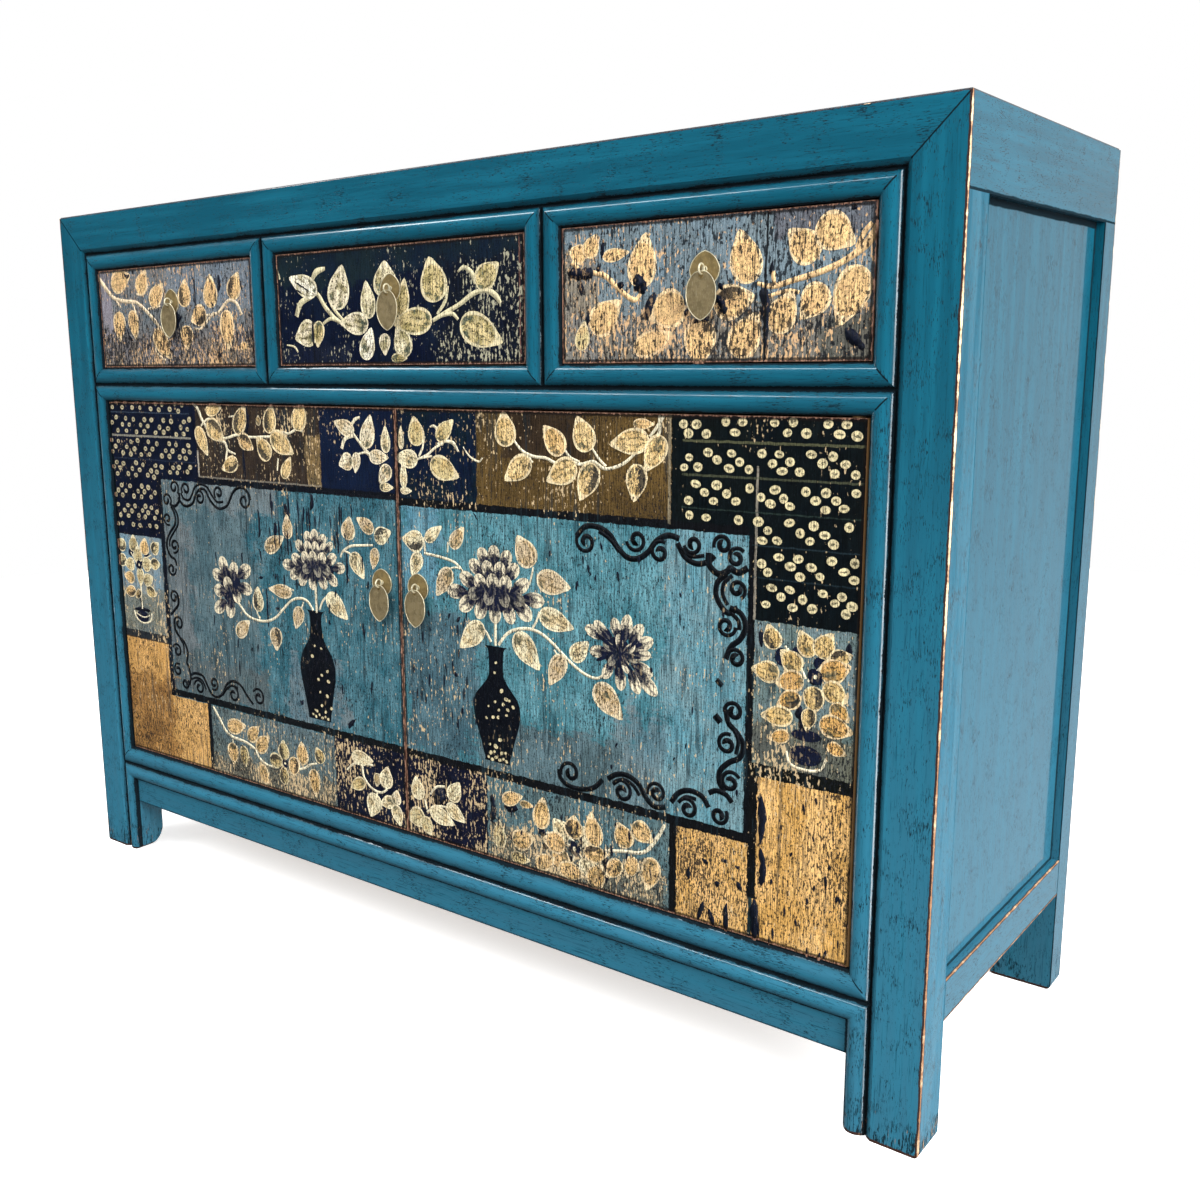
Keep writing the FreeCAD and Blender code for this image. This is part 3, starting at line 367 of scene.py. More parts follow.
def lacquer(name, grain, beadGlaze=True, darkLines=(), heavy=0.0, onArris=False, ledges=(), gloss=1.0):
    # the dark lines: (axis, place, half width, strength) of the dark joints in this material; on the side panel the
    # top one, under the rail, is partly painted shadow
    plan = lacquerPlan
    kit = Kit(name)
    place = x, y, z = kit.place()
    n = SimpleNamespace(**{key: kit.cloud(place, alongGrain(grain, along, across), *settings)
                           for key, (along, across, *settings) in lacquerNoise.items()})
    side, face, ax = plan["halfWidth"] - abs(x), y - plan["front"], abs(x)
    # painted reflection: darker at the top, paler towards the feet
    colour = kit.blend(kit.step(z, *plan["paintedSheenHeights"]), paint(plan["top"]), paint(plan["low"]))
    colour = kit.blend((n.wide - 0.4) * 0.8, colour, paint(plan["lift"]))
    colour = kit.blend(kit.step(n.fine, *plan["shadeEdge"]) * 0.62, colour, paint(plan["shade"]))
    pores = kit.step(n.pore + (n.ragged - 0.5) * (0.5 + heavy), *plan["poreEdge"])
    colour = kit.blend(pores * 0.9, colour, paint(plan["speck"]))
    # feet: dark and bare scratches
    footZone = kit.step(z, *plan["foot"])
    outer = kit.most(side < plan["footSides"][0], face < plan["footSides"][1])
    clawed = n.claw + footZone * (0.08 + heavy * 0.2) + (n.ragged - 0.5) * 0.6
    footDark = kit.step(clawed, *plan["footDark"]) * footZone * outer
    foot = kit.step(n.fine + footZone * 0.1 + (n.ragged - 0.5) * 0.4, *plan["footBare"])
    foot = foot * footZone * outer * (y < 0.0)
    colour = kit.blend(footDark * 0.9, colour, paint(plan["glazeAndShade"]))
    colour = kit.blend(z < (plan["sole"] + n.tight * 2.0), colour, paint(plan["bareRim"]))
    dull = footDark
    if beadGlaze:
        # painted shade in the quirks and on the beads, partly glaze
        glazeAndShade, shade = quirkGlazeAndShade(kit, n, ax, face, z)
        colour = kit.blend(glazeAndShade * 0.95, kit.scaled(colour, shade), paint(plan["glazeAndShade"]))
        dull = kit.most(dull, glazeAndShade)
    for axis, at, halfWidth, strength in darkLines:
        value = {"x": x, "y": y, "z": z, "|x|": ax}[axis]
        line = abs(value - at) + (n.tight - 0.5) * 1.2 + (n.ragged - 0.5) * 3.0
        line = kit.step(line, halfWidth + 0.6, halfWidth - 0.4)
        if onArris:
            line = line * (side < 0.9)
            if axis == "y":  # the top rails run through to the corners
                line = line * (z < plan["levels"][0])
        colour = kit.blend(line * strength, colour, paint(plan["glazeAndShade"]))
        dull = kit.most(dull, line)
    bare, rim = arrisWear(kit, n, place, ledges)
    bare = kit.most(bare, foot)
    # painted highlight: the bare arrises are paler higher up, over the worn wood's own mottling
    paleWearAndHighlight = kit.step(n.ragged + kit.step(z, *plan["arrisHighlightHeights"]) * 0.14 - 0.11, *plan["paleWearAndHighlightEdge"])
    colour = kit.blend(rim, colour, paint(plan["bareRim"]))
    colour = kit.blend(bare, colour, kit.blend(paleWearAndHighlight, *(paint(tone) for tone in plan["bare"])))
    rough = plan["roughness"] + (n.fine - 0.5) * 0.12 + bare * 0.3 + pores * 0.12 + dull * 0.5
    coat = plan["coat"] * gloss * (1.0 - bare) * (1.0 - dull)
    if beadGlaze:  # the light along the beads comes and goes, and the flats are less glossy
        coat = coat * (0.4 + kit.step(n.wide + (n.ragged - 0.5) * 0.6, 0.34, 0.6) * 0.7) * (0.2 + 0.8 * (face > 0.3))
    relief = n.fine * 0.5 - pores * 0.7 - bare * 0.6
    return kit.finish(colour, rough, relief, plan["relief"], 0.0, coat, plan["coatRoughness"], plan["specular"])


openingFront, openingRear = (corner.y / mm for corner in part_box("bottom_board"))
sideSeams = [("z", 790.0, 2.0, 0.92), ("z", 147.0, 1.4, 0.75), ("z", 109.0, 1.2, 0.8),
             ("y", openingFront, 0.9, 0.3), ("y", openingRear, 0.9, 0.5)]
# the top line, wide under the side rail, is partly a dark joint and partly painted shadow
panelSeamsAndShadow = [("z", 788.5, 4.0, 0.95), ("z", 148.0, 2.4, 0.85),
              ("y", openingFront + 1.0, 1.6, 0.4), ("y", openingRear - 1.5, 3.6, 0.92)]
apronSeams = [("z", 103.5, 1.8, 0.95), ("|x|", 524.0, 1.6, 0.9), ("z", 70.5, 0.9, 0.7)]
lacquers = {
    "upright": lacquer("blueLacquerUpright", "z", darkLines=[("y", openingFront, 0.9, 0.3)], heavy=0.15, onArris=True),
    "level": lacquer("blueLacquerLevel", "x", heavy=0.1),
    "sideLevel": lacquer("blueLacquerSideRail", "y", False, sideSeams, onArris=True, ledges=(147.0, 109.0)),
    "panel": lacquer("blueLacquerPanel", "z", False, panelSeamsAndShadow),
    "apron": lacquer("blueLacquerApron", "x", False, apronSeams, 0.15, gloss=0.3),
    "rear": lacquer("blueLacquerRear", "z", False, [("y", openingRear, 1.2, 0.9)], -0.15, True),
}
print("lacquer is mixed")


# bare softwood inside

woodPlan = {
    "pale": "c9a779", "deep": "9a6d41", "knot": "6b4526", "knotEdge": (0.52, 0.75), "roughness": 0.62,
    "relief": 0.00025, "along": 0.004, "across": 0.09, "rings": 46.0,
}


def bareWood(name, grain):
    kit = Kit(name)
    place = x, y, z = kit.place()
    sizes = alongGrain(grain, woodPlan["along"], woodPlan["across"])
    bend = kit.cloud(place, (0.004, 0.004, 0.004), 2.0, 0.5, 3.0)
    rings = kit.noise(x * sizes[0] + bend * 1.5, y * sizes[1] + bend, z * sizes[2] + bend, 4.0, 0.6, 5.0)
    lines = kit.maths("SINE", rings * woodPlan["rings"]) * 0.5 + 0.5
    fibre = kit.cloud(place, [size * 8 for size in sizes], 3.0, 0.6, 7.0)
    dirt = kit.cloud(place, (0.008, 0.008, 0.008), 4.0, 0.6, 11.0)
    colour = kit.blend(lines * 0.55 + fibre * 0.3, paint(woodPlan["pale"]), paint(woodPlan["deep"]))
    colour = kit.blend(kit.step(dirt, *woodPlan["knotEdge"]) * 0.5, colour, paint(woodPlan["knot"]))
    return kit.finish(colour, woodPlan["roughness"] + fibre * 0.16, lines * 0.4 + fibre, woodPlan["relief"])


bareAlong = {axis: bareWood("softwoodAlong" + axis.upper(), axis) for axis in "xyz"}


# aged brass

brassPlan = {
    # the pin tone is pale, and the wire rims round plate and leaf are drawn in it as a painted highlight along their
    # edges
    "plate": "a08b5c", "leaf": "9c8c68", "pin": "e2dabb", "pale": "e2dabb", "dark": "4f4328", "metallic": 0.55,
    "darkEdge": (0.35, 0.7), "paleEdge": (0.55, 0.75), "roughness": 0.36, "relief": 0.00012,
}


def agedBrass(part):
    kit = Kit("agedBrass" + part.capitalize())
    place = kit.place()
    cloud = kit.cloud(place, (0.12, 0.12, 0.12), 4.0, 0.6, 3.0)
    scratch = kit.cloud(place, (1.6, 0.4, 0.25), 3.0, 0.6, 8.0)
    plan = brassPlan
    colour = kit.blend(kit.step(cloud, *plan["darkEdge"]) * 0.5, paint(plan[part]), paint(plan["dark"]))
    colour = kit.blend(kit.step(scratch, *plan["paleEdge"]) * 0.35, colour, paint(plan["pale"]))
    rough = plan["roughness"] + cloud * 0.16
    return kit.finish(colour, rough, scratch + cloud, plan["relief"], plan["metallic"])


brass = {part: agedBrass(part) for part in ("plate", "leaf", "pin")}
print("wood and brass are mixed")


# the painted boards

boardNoise = {  # across, up, detail, roughness, seed
    "wobbleX": (0.11, 0.11, 4.0, 0.65, 2.0), "wobbleZ": (0.13, 0.13, 4.0, 0.65, 6.0),
    "mottle": (0.035, 0.02, 5.0, 0.62, 11.0), "brush": (0.07, 0.34, 4.0, 0.6, 12.0),
    "scribble": (0.35, 0.35, 3.0, 0.6, 17.0), "scrawl": (0.7, 0.42, 2.0, 0.6, 19.0),
    "blotch": (0.075, 0.075, 3.0, 0.6, 23.0), "region": (0.016, 0.012, 3.0, 0.55, 51.0),
    "scratch": (0.4, 0.085, 3.0, 0.62, 52.0), "darkScratch": (0.62, 0.15, 3.0, 0.62, 57.0),
    "flake": (0.32, 0.22, 2.0, 0.55, 61.0), "darkFlake": (0.55, 0.42, 2.0, 0.55, 63.0),
    "hair": (0.85, 0.045, 3.0, 0.7, 71.0), "trail": (0.2, 0.011, 3.0, 0.6, 68.0),
    "grit": (0.6, 0.5, 2.0, 0.7, 74.0), "wander": (0.0, 0.03, 2.0, 0.6, 81.0), "back": (0.09, 0.004, 4.0, 0.6, 91.0),
}
agePlan = {
    "vein": "3e3822", "moss": "2c4340", "pit": "33291c", "rim": "f2e8c8", "eye": "141a16", "heart": "10152a",
    "lash": "1b2034", "dusk": "1a2026", "trail": "1d2c33", "dark": "10141b", "crack": "0c0d10", "margin": "120d0c",
    "edge": ("4a3029", "a9806a"), "back": ("b18a5c", "7d5834"), "paintDepth": 6.9,
    "light": 1.42, "hair": (0.95, 0.32, 0.72), "grit": (0.5, 0.52, 0.68),    # strength and step of the fine grain
    "paleWear": (0.17, 0.68, 0.715), "darkWear": (0.18, 0.68, 0.705),        # reach and step of the scratches
    "marginEdge": (4.2, 2.6), "rubbed": 0.9, "rubbedEdge": (0.4, 0.62),
    "roughness": 0.44, "coatRoughness": 0.2, "specular": 0.14, "relief": 0.0003,
}


def boardGround(kit, n, x, z, patches, lines):  # patches and ruled lines, and how much each wears
    px, pz = x + (n.wobbleX - 0.5) * 5.0, z + (n.wobbleZ - 0.5) * 4.0
    tones = kit.step(n.mottle * 0.75 + n.brush * 0.25, 0.36, 0.64)
    cloudy = (n.mottle - 0.5) * 3.2 + (n.brush - 0.5) * 1.4
    one, two, pale, dark = patches[0][4:]
    ground = kit.blend(tones, paint(one), paint(two))
    wearing = kit.node("ShaderNodeRGB")
    wearing.socket.default_value = (pale, dark, 0, 1)
    for x0, x1, z0, z1, one, two, pale, dark, *soft in patches[1:]:
        if soft:  # a cloudy edge, this many millimetres wide
            deep = kit.least(px - x0, x1 - px, pz - z0, z1 - pz)
            inside = kit.step(deep + cloudy * soft[0], -0.25 * soft[0], 0.25 * soft[0])
        else:
            inside = kit.within(px, x0, x1) * kit.within(pz, z0, z1)
        ground = kit.blend(inside, ground, kit.blend(tones, paint(one), paint(two)))
        wearing = kit.blend(inside, wearing, (pale, dark, 0, 1))
    for x0, x1, z0, z1, tone, strength in lines:
        ragged = 4.0 if strength == 1.0 else 2.4
        lx, lz = (at + (wobble - 0.5) * ragged for at, wobble in ((x, n.wobbleX), (z, n.wobbleZ)))
        inside = kit.within(lx, x0, x1) * kit.within(lz, z0, z1)
        ground = kit.blend(inside * strength, ground, paint(tone))
    return ground, wearing


def motifTint(kit, n, leafAge):  # leaves, petals, dots and plain paint; spot is the place within a shape
    stain, stained, streaky, mossy, rimmed = leafAge
    kind, tint, spot = kit.attribute("kind"), kit.attribute("tint", "Color"), kit.attribute("spot", "Vector")
    u, v = kit.part(spot, "X"), kit.part(spot, "Y")
    isLeaf, isEye, isPetal, isDusk = (kit.within(kind, i - 0.5, i + 0.5) for i in (1, 2, 3, 4))
    leafy = kit.most(isLeaf, isDusk)
    scribble, scrawl, blotch = n.scribble - 0.5, n.scrawl - 0.5, n.blotch - 0.5
    rim = kit.step(u * u + v * v + scribble * 0.3, 0.6, 0.74)
    inner = 1.0 - rim
    bent = v / kit.maths("SQRT", kit.most(1.0 - u * u, 0.08))
    streak = kit.maths("SINE", bent * 12.0 + u * 2.0 + n.scribble * 9.0)
    streaks = kit.step(streak + scrawl * 2.2 + blotch * 1.6, 0.45, 0.9) * inner
    moss = kit.step(0.1 - u + blotch * 5.0 + scribble * 1.6, 0.75, 1.25) * inner
    eye = kit.step(u * u * 1.3 + v * v * 2.8 + scrawl * 1.5 + scribble * 1.7, 0.34, 0.16)
    heart = kit.step(u + scribble * 1.1 + abs(v) * 0.5, 0.5, 0.05)
    lash = kit.step(kit.maths("SINE", v * 8.0 + n.scribble * 6.0) + scrawl * 1.6, 0.25, 0.9)
    dusk = kit.step(v + scribble * 1.6 - u * 0.3, 0.0, 0.3)
    for share, tone in (
            (leafy * kit.step(n.blotch, 0.42, 0.62) * stained, stain), (leafy * streaks * streaky, agePlan["vein"]),
            (leafy * moss * mossy, agePlan["moss"]), (leafy * kit.step(n.scrawl, 0.6, 0.66) * 0.85, agePlan["pit"]),
            (leafy * rim * rimmed, agePlan["rim"]), (isEye * eye * 0.8, agePlan["eye"]),
            (isPetal * heart * (1.0 - lash * 0.35), agePlan["heart"]),
            (isPetal * lash * (1.0 - rim * 0.6) * 0.75, agePlan["lash"]),
            (isDusk * dusk * inner * 0.9, agePlan["dusk"])):
        tint = kit.blend(share, tint, paint(tone))
    return tint


def painted(name, box, plan, paleTone, leafAge, fineness):
    kit = Kit(name)
    x, y, z = kit.place()
    noises = {}
    for key, (across, up, *settings) in boardNoise.items():
        px, pz = x * across, z * up
        if key in ("darkScratch", "darkFlake"):
            px, pz = px * fineness, pz * fineness
        noises[key] = kit.noise(px, 0.0, pz, *settings)
    n = SimpleNamespace(**noises)
    ground, wearing = boardGround(kit, n, x, z, plan["patches"], plan["lines"])
    has = kit.attribute("painted")   # the motifs carry their own tint, and the boards have none
    colour = kit.blend(has, ground, motifTint(kit, n, leafAge))
    # age: upright scratches, pale where the ground is dark and dark where it is pale
    paleShare, darkShare = (kit.node("ShaderNodeSeparateColor", sockets={"Color": wearing}, out=part)
                            for part in ("Red", "Green"))
    paleAt = n.scratch * 0.6 + n.flake * 0.4 + (n.region - 0.5) * 0.34
    darkAt = n.darkScratch * 0.65 + n.darkFlake * 0.35 + (0.5 - n.region) * 0.26
    trails = kit.step(n.trail + (n.region - 0.5) * 0.5, 0.57, 0.7) * kit.step(darkShare, 0.05, 0.3)
    colour = kit.blend(trails * (1.0 - has * 0.6) * 0.6, colour, paint(agePlan["trail"]))
    (hair, *hairEdge), (grit, *gritEdge) = agePlan["hair"], agePlan["grit"]
    grain = agePlan["light"] - hair * kit.step(n.hair, *hairEdge) - grit * kit.step(n.grit, *gritEdge)
    colour = kit.scaled(colour, grain)
    paleMark, darkMark = (
        kit.step(at, low - reach * share, high - reach * share) * (share > 0.02)
        for at, share, (reach, low, high) in (
            (paleAt, paleShare, agePlan["paleWear"]), (darkAt, darkShare, agePlan["darkWear"])))
    colour = kit.blend(paleMark * (0.88 - has * 0.6), colour, paint(paleTone))
    colour = kit.blend(darkMark * 0.9, colour, paint(agePlan["dark"]))
    for at, z0, z1, half, strength in plan["cracks"]:
        gap = kit.step(abs(x - at + (n.wander * 3.0 - 1.5)), half + 0.3, half - 0.2) * kit.within(z, z0, z1)
        colour = kit.blend(gap * strength, colour, paint(agePlan["crack"]))
    # a dark band along the board's edges, the rubbed arrises and the bare back
    left, right, low, high = box
    edge = kit.least(x - left, right - x, z - low, high - z)
    margin = kit.step(edge + (n.scratch - 0.5) * 2.4, *agePlan["marginEdge"])
    colour = kit.blend(margin * 0.85, colour, paint(agePlan["margin"]))
    rubbed = edge < (agePlan["rubbed"] + (n.flake - 0.46) * 3.6)
    worn = kit.blend(kit.step(n.scratch, *agePlan["rubbedEdge"]), *(paint(tone) for tone in agePlan["edge"]))
    colour = kit.blend(rubbed * 0.8, colour, worn)
    behind = y > (lacquerPlan["front"] + agePlan["paintDepth"])
    colour = kit.blend(behind, colour, kit.blend(n.back, *(paint(tone) for tone in agePlan["back"])))
    relief = n.mottle * 0.3 + n.hair * 0.5 - darkMark * 0.6 - paleMark * 0.5
    rough = agePlan["roughness"] + n.mottle * 0.14 + paleMark * 0.2
    gloss = agePlan["coatRoughness"], agePlan["specular"]
    return kit.finish(colour, rough, relief, agePlan["relief"], 0.0, 0.0, *gloss)


def boardBox(node):
    low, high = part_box(node)
    return low.x / mm, high.x / mm, low.z / mm, high.z / mm


# patches: (left, right, low, high, tone, second tone, pale wear, dark wear, width of a cloudy edge)
# lines: (left, right, low, high, tone, strength), cracks: (x, low, high, half width, strength)
# age: tone of the pale wear, the stain and wear of the leaves, fineness of the scratches
boardPlans = {
    "door_left": {
        "age": ("cbb28a", ("b58f4c", 0.5, 0.76, 0.68, 0.42), 1.0),
        "patches": [
            (0, 0, 0, 0, "2a5966", "4e7580", 0.2, 0.5), (-424, -240, 245, 530, "425b63", "596e74", 0.18, 0.3, 26),
            (-424, -370, 245, 470, "566368", "676f72", 0.16, 0.3, 20),
            (-424, -230, 245, 300, "596163", "4b5d61", 0.16, 0.3, 20),
            (-424, -200, 494, 530, "5e6e74", "687376", 0.16, 0.3, 14),
            (-190, -100, 245, 330, "476774", "67767b", 0.2, 0.4, 24),
            (-530, -341, 526, 640, "060c1c", "0b1428", 0.1, 0.1),
            (-530, -421, 449, 640, "060c1c", "0a1226", 0.1, 0.1),
            (-341, -118, 531, 640, "3a2f25", "241e1c", 0.4, 0.42),
            (-141, -117, 531, 590, "7d6641", "64553b", 0.7, 0.5, 6),
            (-118, 0, 529, 640, "06122a", "0a1830", 0.3, 0.1), (-530, -428, 319, 449, "7d8584", "6a8898", 0.3, 0.3),
            (-530, -428, 300, 376, "77786a", "66706f", 0.6, 0.5, 14),
            (-530, -428, 140, 310, "b98d50", "d0a264", 0.2, 0.6),
            (-530, -352, 140, 240, "bd9153", "d3a76a", 0.2, 0.65),
            (-530, -420, 120, 262, "8a6437", "a67c46", 0.25, 0.8, 22),
            (-345, -115, 140, 240, "5c6866", "586c72", 0.5, 0.6),
            (-345, -115, 100, 182, "6f6c5e", "585a52", 0.95, 0.85, 20),
            (-115, 0, 140, 242, "080d1c", "0e1428", 0.7, 0.15),
        ],
        "lines": [
            (-530, -425, 449.5, 452, "0b1020", 1.0), (-530, -352, 578.6, 581.2, "8f8c80", 0.7),
            (-530, -352, 609.2, 610.6, "3a4654", 0.7), (-530, -345, 549.4, 550.8, "2a3546", 0.6),
            (-345, 0, 524.5, 532, "0b0e16", 1.0), (-428, -419.5, 240, 530, "0c101a", 1.0),
            (-428, 0, 241, 250, "0c0f12", 1.0), (-352, -345, 140, 246, "0d1116", 1.0),
            (-530, -421, 308.5, 319.5, "10141e", 0.9), (-341.5, -338.6, 533, 566, "b9b2a4", 0.7),
            (-340, -118, 532.4, 534.4, "8e887c", 0.5),
        ],
        "cracks": [
            (-254, 150, 624, 0.5, 0.7), (-200, 250, 420, 0.4, 0.5), (-48, 250, 420, 0.35, 0.5),
            (-455, 150, 320, 0.5, 0.4), (-130, 150, 300, 0.35, 0.5),
        ],
    },
    "door_right": {
        "age": ("cbb28a", ("b58f4c", 0.5, 0.76, 0.68, 0.42), 1.0),
        "patches": [
            (0, 0, 0, 0, "3b6d78", "5c8a94", 0.14, 0.46), (0, 108, 245, 410, "395560", "4f6c76", 0.4, 0.45, 26),
            (0, 60, 420, 525, "4b7c8f", "5f8795", 0.3, 0.4, 22),
            (110, 345, 245, 308, "475b60", "576e75", 0.3, 0.4, 16),
            (290, 424, 245, 345, "54727c", "65777c", 0.2, 0.3, 24),
            (335, 424, 245, 525, "568592", "6b8990", 0.14, 0.34, 14),
            (0, 112, 522, 640, "06122a", "091a24", 0.4, 0.1), (112, 341, 526, 640, "4a3a20", "5c4826", 0.34, 0.46),
            (150, 250, 578, 650, "2a2018", "382c1e", 0.2, 0.3, 14),
            (341, 530, 521, 640, "040c10", "080f10", 0.1, 0.1), (423, 530, 447, 640, "040b10", "070e10", 0.14, 0.1),
            (426, 530, 318, 447, "5c6e6c", "687a7e", 0.5, 0.5),
            (426, 530, 300, 358, "66685a", "4c504c", 0.6, 0.6, 12),
            (430, 530, 140, 306, "c19552", "dbb072", 0.3, 0.7), (350, 426, 140, 241, "c29858", "d8ae72", 0.45, 0.85),
            (118, 342, 140, 243, "566a6c", "507078", 0.5, 0.6),
            (118, 342, 100, 190, "6c6b5c", "545a56", 0.95, 0.85, 20),
            (0, 118, 140, 243, "080c1c", "0e1226", 0.78, 0.2),
        ],
        "lines": [
            (0, 420, 520, 528, "0a0c10", 1.0), (419.5, 427, 243, 521, "090c10", 1.0),
            (0, 430, 241, 250, "0b0d10", 1.0), (342, 350, 140, 243, "0c0e10", 1.0),
            (424.5, 433, 190, 315, "0b0d0e", 1.0), (426, 430, 140, 200, "0b0d0e", 0.9),
            (426, 530, 306, 318, "0c0f0d", 1.0), (425.2, 427.4, 447, 580, "8d8678", 0.7),
            (352, 530, 598.6, 600.8, "5a5b42", 0.65), (352, 530, 568.8, 570.8, "4c4f3c", 0.6),
            (352, 530, 540, 541.2, "2c3a34", 0.6), (423, 530, 512, 513.2, "24333a", 0.6),
            (423, 530, 484, 485.2, "202f36", 0.6), (337.5, 340.5, 524, 624, "9a9078", 0.5),
        ],
        "cracks": [
            (262, 150, 624, 0.45, 0.55), (268, 152, 300, 0.5, 0.7), (123, 152, 300, 0.4, 0.6),
            (470, 150, 520, 0.3, 0.35),
        ],
    },
    "drawer_left": {
        "age": ("d2ab7e", ("dcb07c", 0.5, 0.4, 0.3, 0.3), 0.62),
        "patches": [
            (0, 0, 0, 0, "6f6d6c", "646e74", 0.5, 0.66), (-530, -498, 650, 800, "85808a", "7a787e", 0.3, 0.3, 8),
            (-530, -215, 600, 708, "6e655a", "6a686c", 0.95, 0.9, 20),
            (-380, -200, 735, 860, "687480", "737a80", 0.45, 0.6, 16),
        ],
        "lines": [],
        "cracks": [(-326, 700, 790, 0.6, 0.7), (-286, 666, 790, 0.6, 0.6)],
    },
    "drawer_middle": {
        "age": ("aaa68e", ("8a7f4c", 0.75, 0.85, 0.75, 0.4), 1.0),
        "patches": [
            (0, 0, 0, 0, "040c22", "081426", 0.2, 0.05), (-180, 180, 756, 860, "0a1828", "122026", 0.2, 0.05, 14),
            (70, 220, 600, 772, "080f1e", "0c131e", 0.75, 0.1, 20),
            (-220, -60, 620, 690, "161c2a", "0c1428", 0.4, 0.1, 12),
        ],
        "lines": [
            # the brown edge lines; the left and top ones are paler, a painted highlight along those edges
            (-180, 180, 668.2, 669.4, "6b4a40", 0.8), (-180, 180, 787, 788.4, "7a6a62", 0.8),
            (170, 171.6, 668, 788, "6b4a40", 0.8), (-176, -174.6, 668, 788, "80756e", 0.7),
        ],
        "cracks": [(-120, 672, 717, 0.8, 0.9)],
    },
    "drawer_right": {
        "age": ("d2ab7e", ("dcb07c", 0.5, 0.4, 0.3, 0.3), 0.55),
        "patches": [
            (0, 0, 0, 0, "6c7a80", "6a7c86", 0.45, 0.7), (215, 530, 600, 716, "696c6c", "726a5c", 0.85, 0.85, 20),
            (200, 262, 600, 764, "6e7070", "7e7668", 0.7, 0.75, 14),
            (478, 560, 600, 704, "454844", "5e5c54", 0.7, 0.6, 14),
            (436, 560, 766, 860, "666c74", "505056", 0.5, 0.5, 10),
        ],
        "lines": [],
        "cracks": [(430, 666, 790, 0.9, 0.95), (420, 666, 790, 0.4, 0.8)],
    },
}
boards = {}
for owner, plan in boardPlans.items():
    kind, side = owner.split("_")
    node = owner + {"door": "_boards", "drawer": "_front"}[kind]
    look = painted("painted" + kind.capitalize() + side.capitalize(), boardBox(node), plan, *plan["age"])
    boards[owner] = {"node": node, "face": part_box(node)[0].y, "look": look}
print("painted grounds are mixed")


# every CAD node gets its finish

finishes = [
    (lacquers["level"], ["top_front_rail", "top_rear_rail", "top_panel", "middle_rail", "bottom_front_rail"]),
    (lacquers["sideLevel"], [f"{level}_side_rail_{side}" for level in ("top", "bottom") for side in sides]),
    (lacquers["upright"], [f"{post}_{side}" for post in ("post_front", "drawer_divider") for side in sides]),
    (lacquers["rear"], ["post_rear_" + side for side in sides]),
    (lacquers["panel"], ["side_panel_" + side for side in sides]),
    (lacquers["apron"], ["apron"]),
    (bareAlong["x"], ["middle_rear_rail", "bottom_rear_rail", "bottom_board", "shelf", "door_stops"]
     + [f"drawer_{which}_{part}" for which in drawers for part in ("back", "bottom")]
     + [f"door_{side}_battens" for side in sides]),
    (bareAlong["y"], ["cupboard_battens", "drawer_runners", "drawer_guides"]
     + [f"drawer_{which}_sides" for which in drawers]),
    (bareAlong["z"], ["back_panel"] + [f"door_{side}_pivots" for side in sides]),
    *((board["look"], [board["node"]]) for board in boards.values()),
    *((brass[part], [f"{owner}_{part}" for owner in pulls]) for part in ("plate", "leaf", "pin")),
]
finishOf = {name: material for material, names in finishes for name in names}
for name, thing in nodes.items():
    if not thing.data.materials:
        thing.data.materials.append(finishOf[name])
    for i in range(len(thing.data.materials)):
        thing.data.materials[i] = finishOf[name]
print("CAD nodes have their finishes")


# Geometry Nodes: one tree sets a painted shape on each point, one sweeps a brush stroke along a path

class Plot:
    def __init__(self, name, inputs):
        self.tree = bpy.data.node_groups.new(name, "GeometryNodeTree")
        sockets = {label: self.tree.interface.new_socket(label, in_out="INPUT", socket_type="NodeSocket" + kind)
                   for label, kind in [("Geometry", "Geometry"), *inputs.items()]}
        self.ids = {label: socket.identifier for label, socket in sockets.items()}
        self.tree.interface.new_socket("Geometry", in_out="OUTPUT", socket_type="NodeSocketGeometry")
        self.entry = self.tree.nodes.new("NodeGroupInput")
        self.exit = self.tree.nodes.new("NodeGroupOutput")

    def given(self, label):
        return self.entry.outputs[label]

    def made(self, kind, settings=None, sockets=None):
        made = self.tree.nodes.new(kind)
        for key, value in (settings or {}).items():
            setattr(made, key, value)
        for key, value in (sockets or {}).items():
            if isinstance(value, bpy.types.NodeSocket):
                self.tree.links.new(value, made.inputs[key])
            else:
                made.inputs[key].default_value = value
        return made

    def node(self, kind, settings=None, sockets=None):
        return self.made(kind, settings, sockets).outputs[0]

    def maths(self, operation, a, b):
        return self.node("ShaderNodeMath", {"operation": operation}, {0: a, 1: b})

    def split(self, vector):
        return self.made("ShaderNodeSeparateXYZ", sockets={0: vector}).outputs

    def joined(self, x, y, z):
        return self.node("ShaderNodeCombineXYZ", sockets={"X": x, "Y": y, "Z": z})

    def stored(self, geometry, name, kind, value):
        return self.node("GeometryNodeStoreNamedAttribute", {"data_type": kind, "domain": "POINT"},
                         {"Geometry": geometry, "Name": name, "Value": value})

    def named(self, name, kind):
        return self.node("GeometryNodeInputNamedAttribute", {"data_type": kind}, {"Name": name})

    def close(self, geometry):
        whole = self.node("GeometryNodeRealizeInstances", sockets={"Geometry": geometry})
        coated = self.node("GeometryNodeSetMaterial", sockets={"Geometry": whole, "Material": self.given("Paint")})
        self.tree.links.new(coated, self.exit.inputs["Geometry"])
        return self


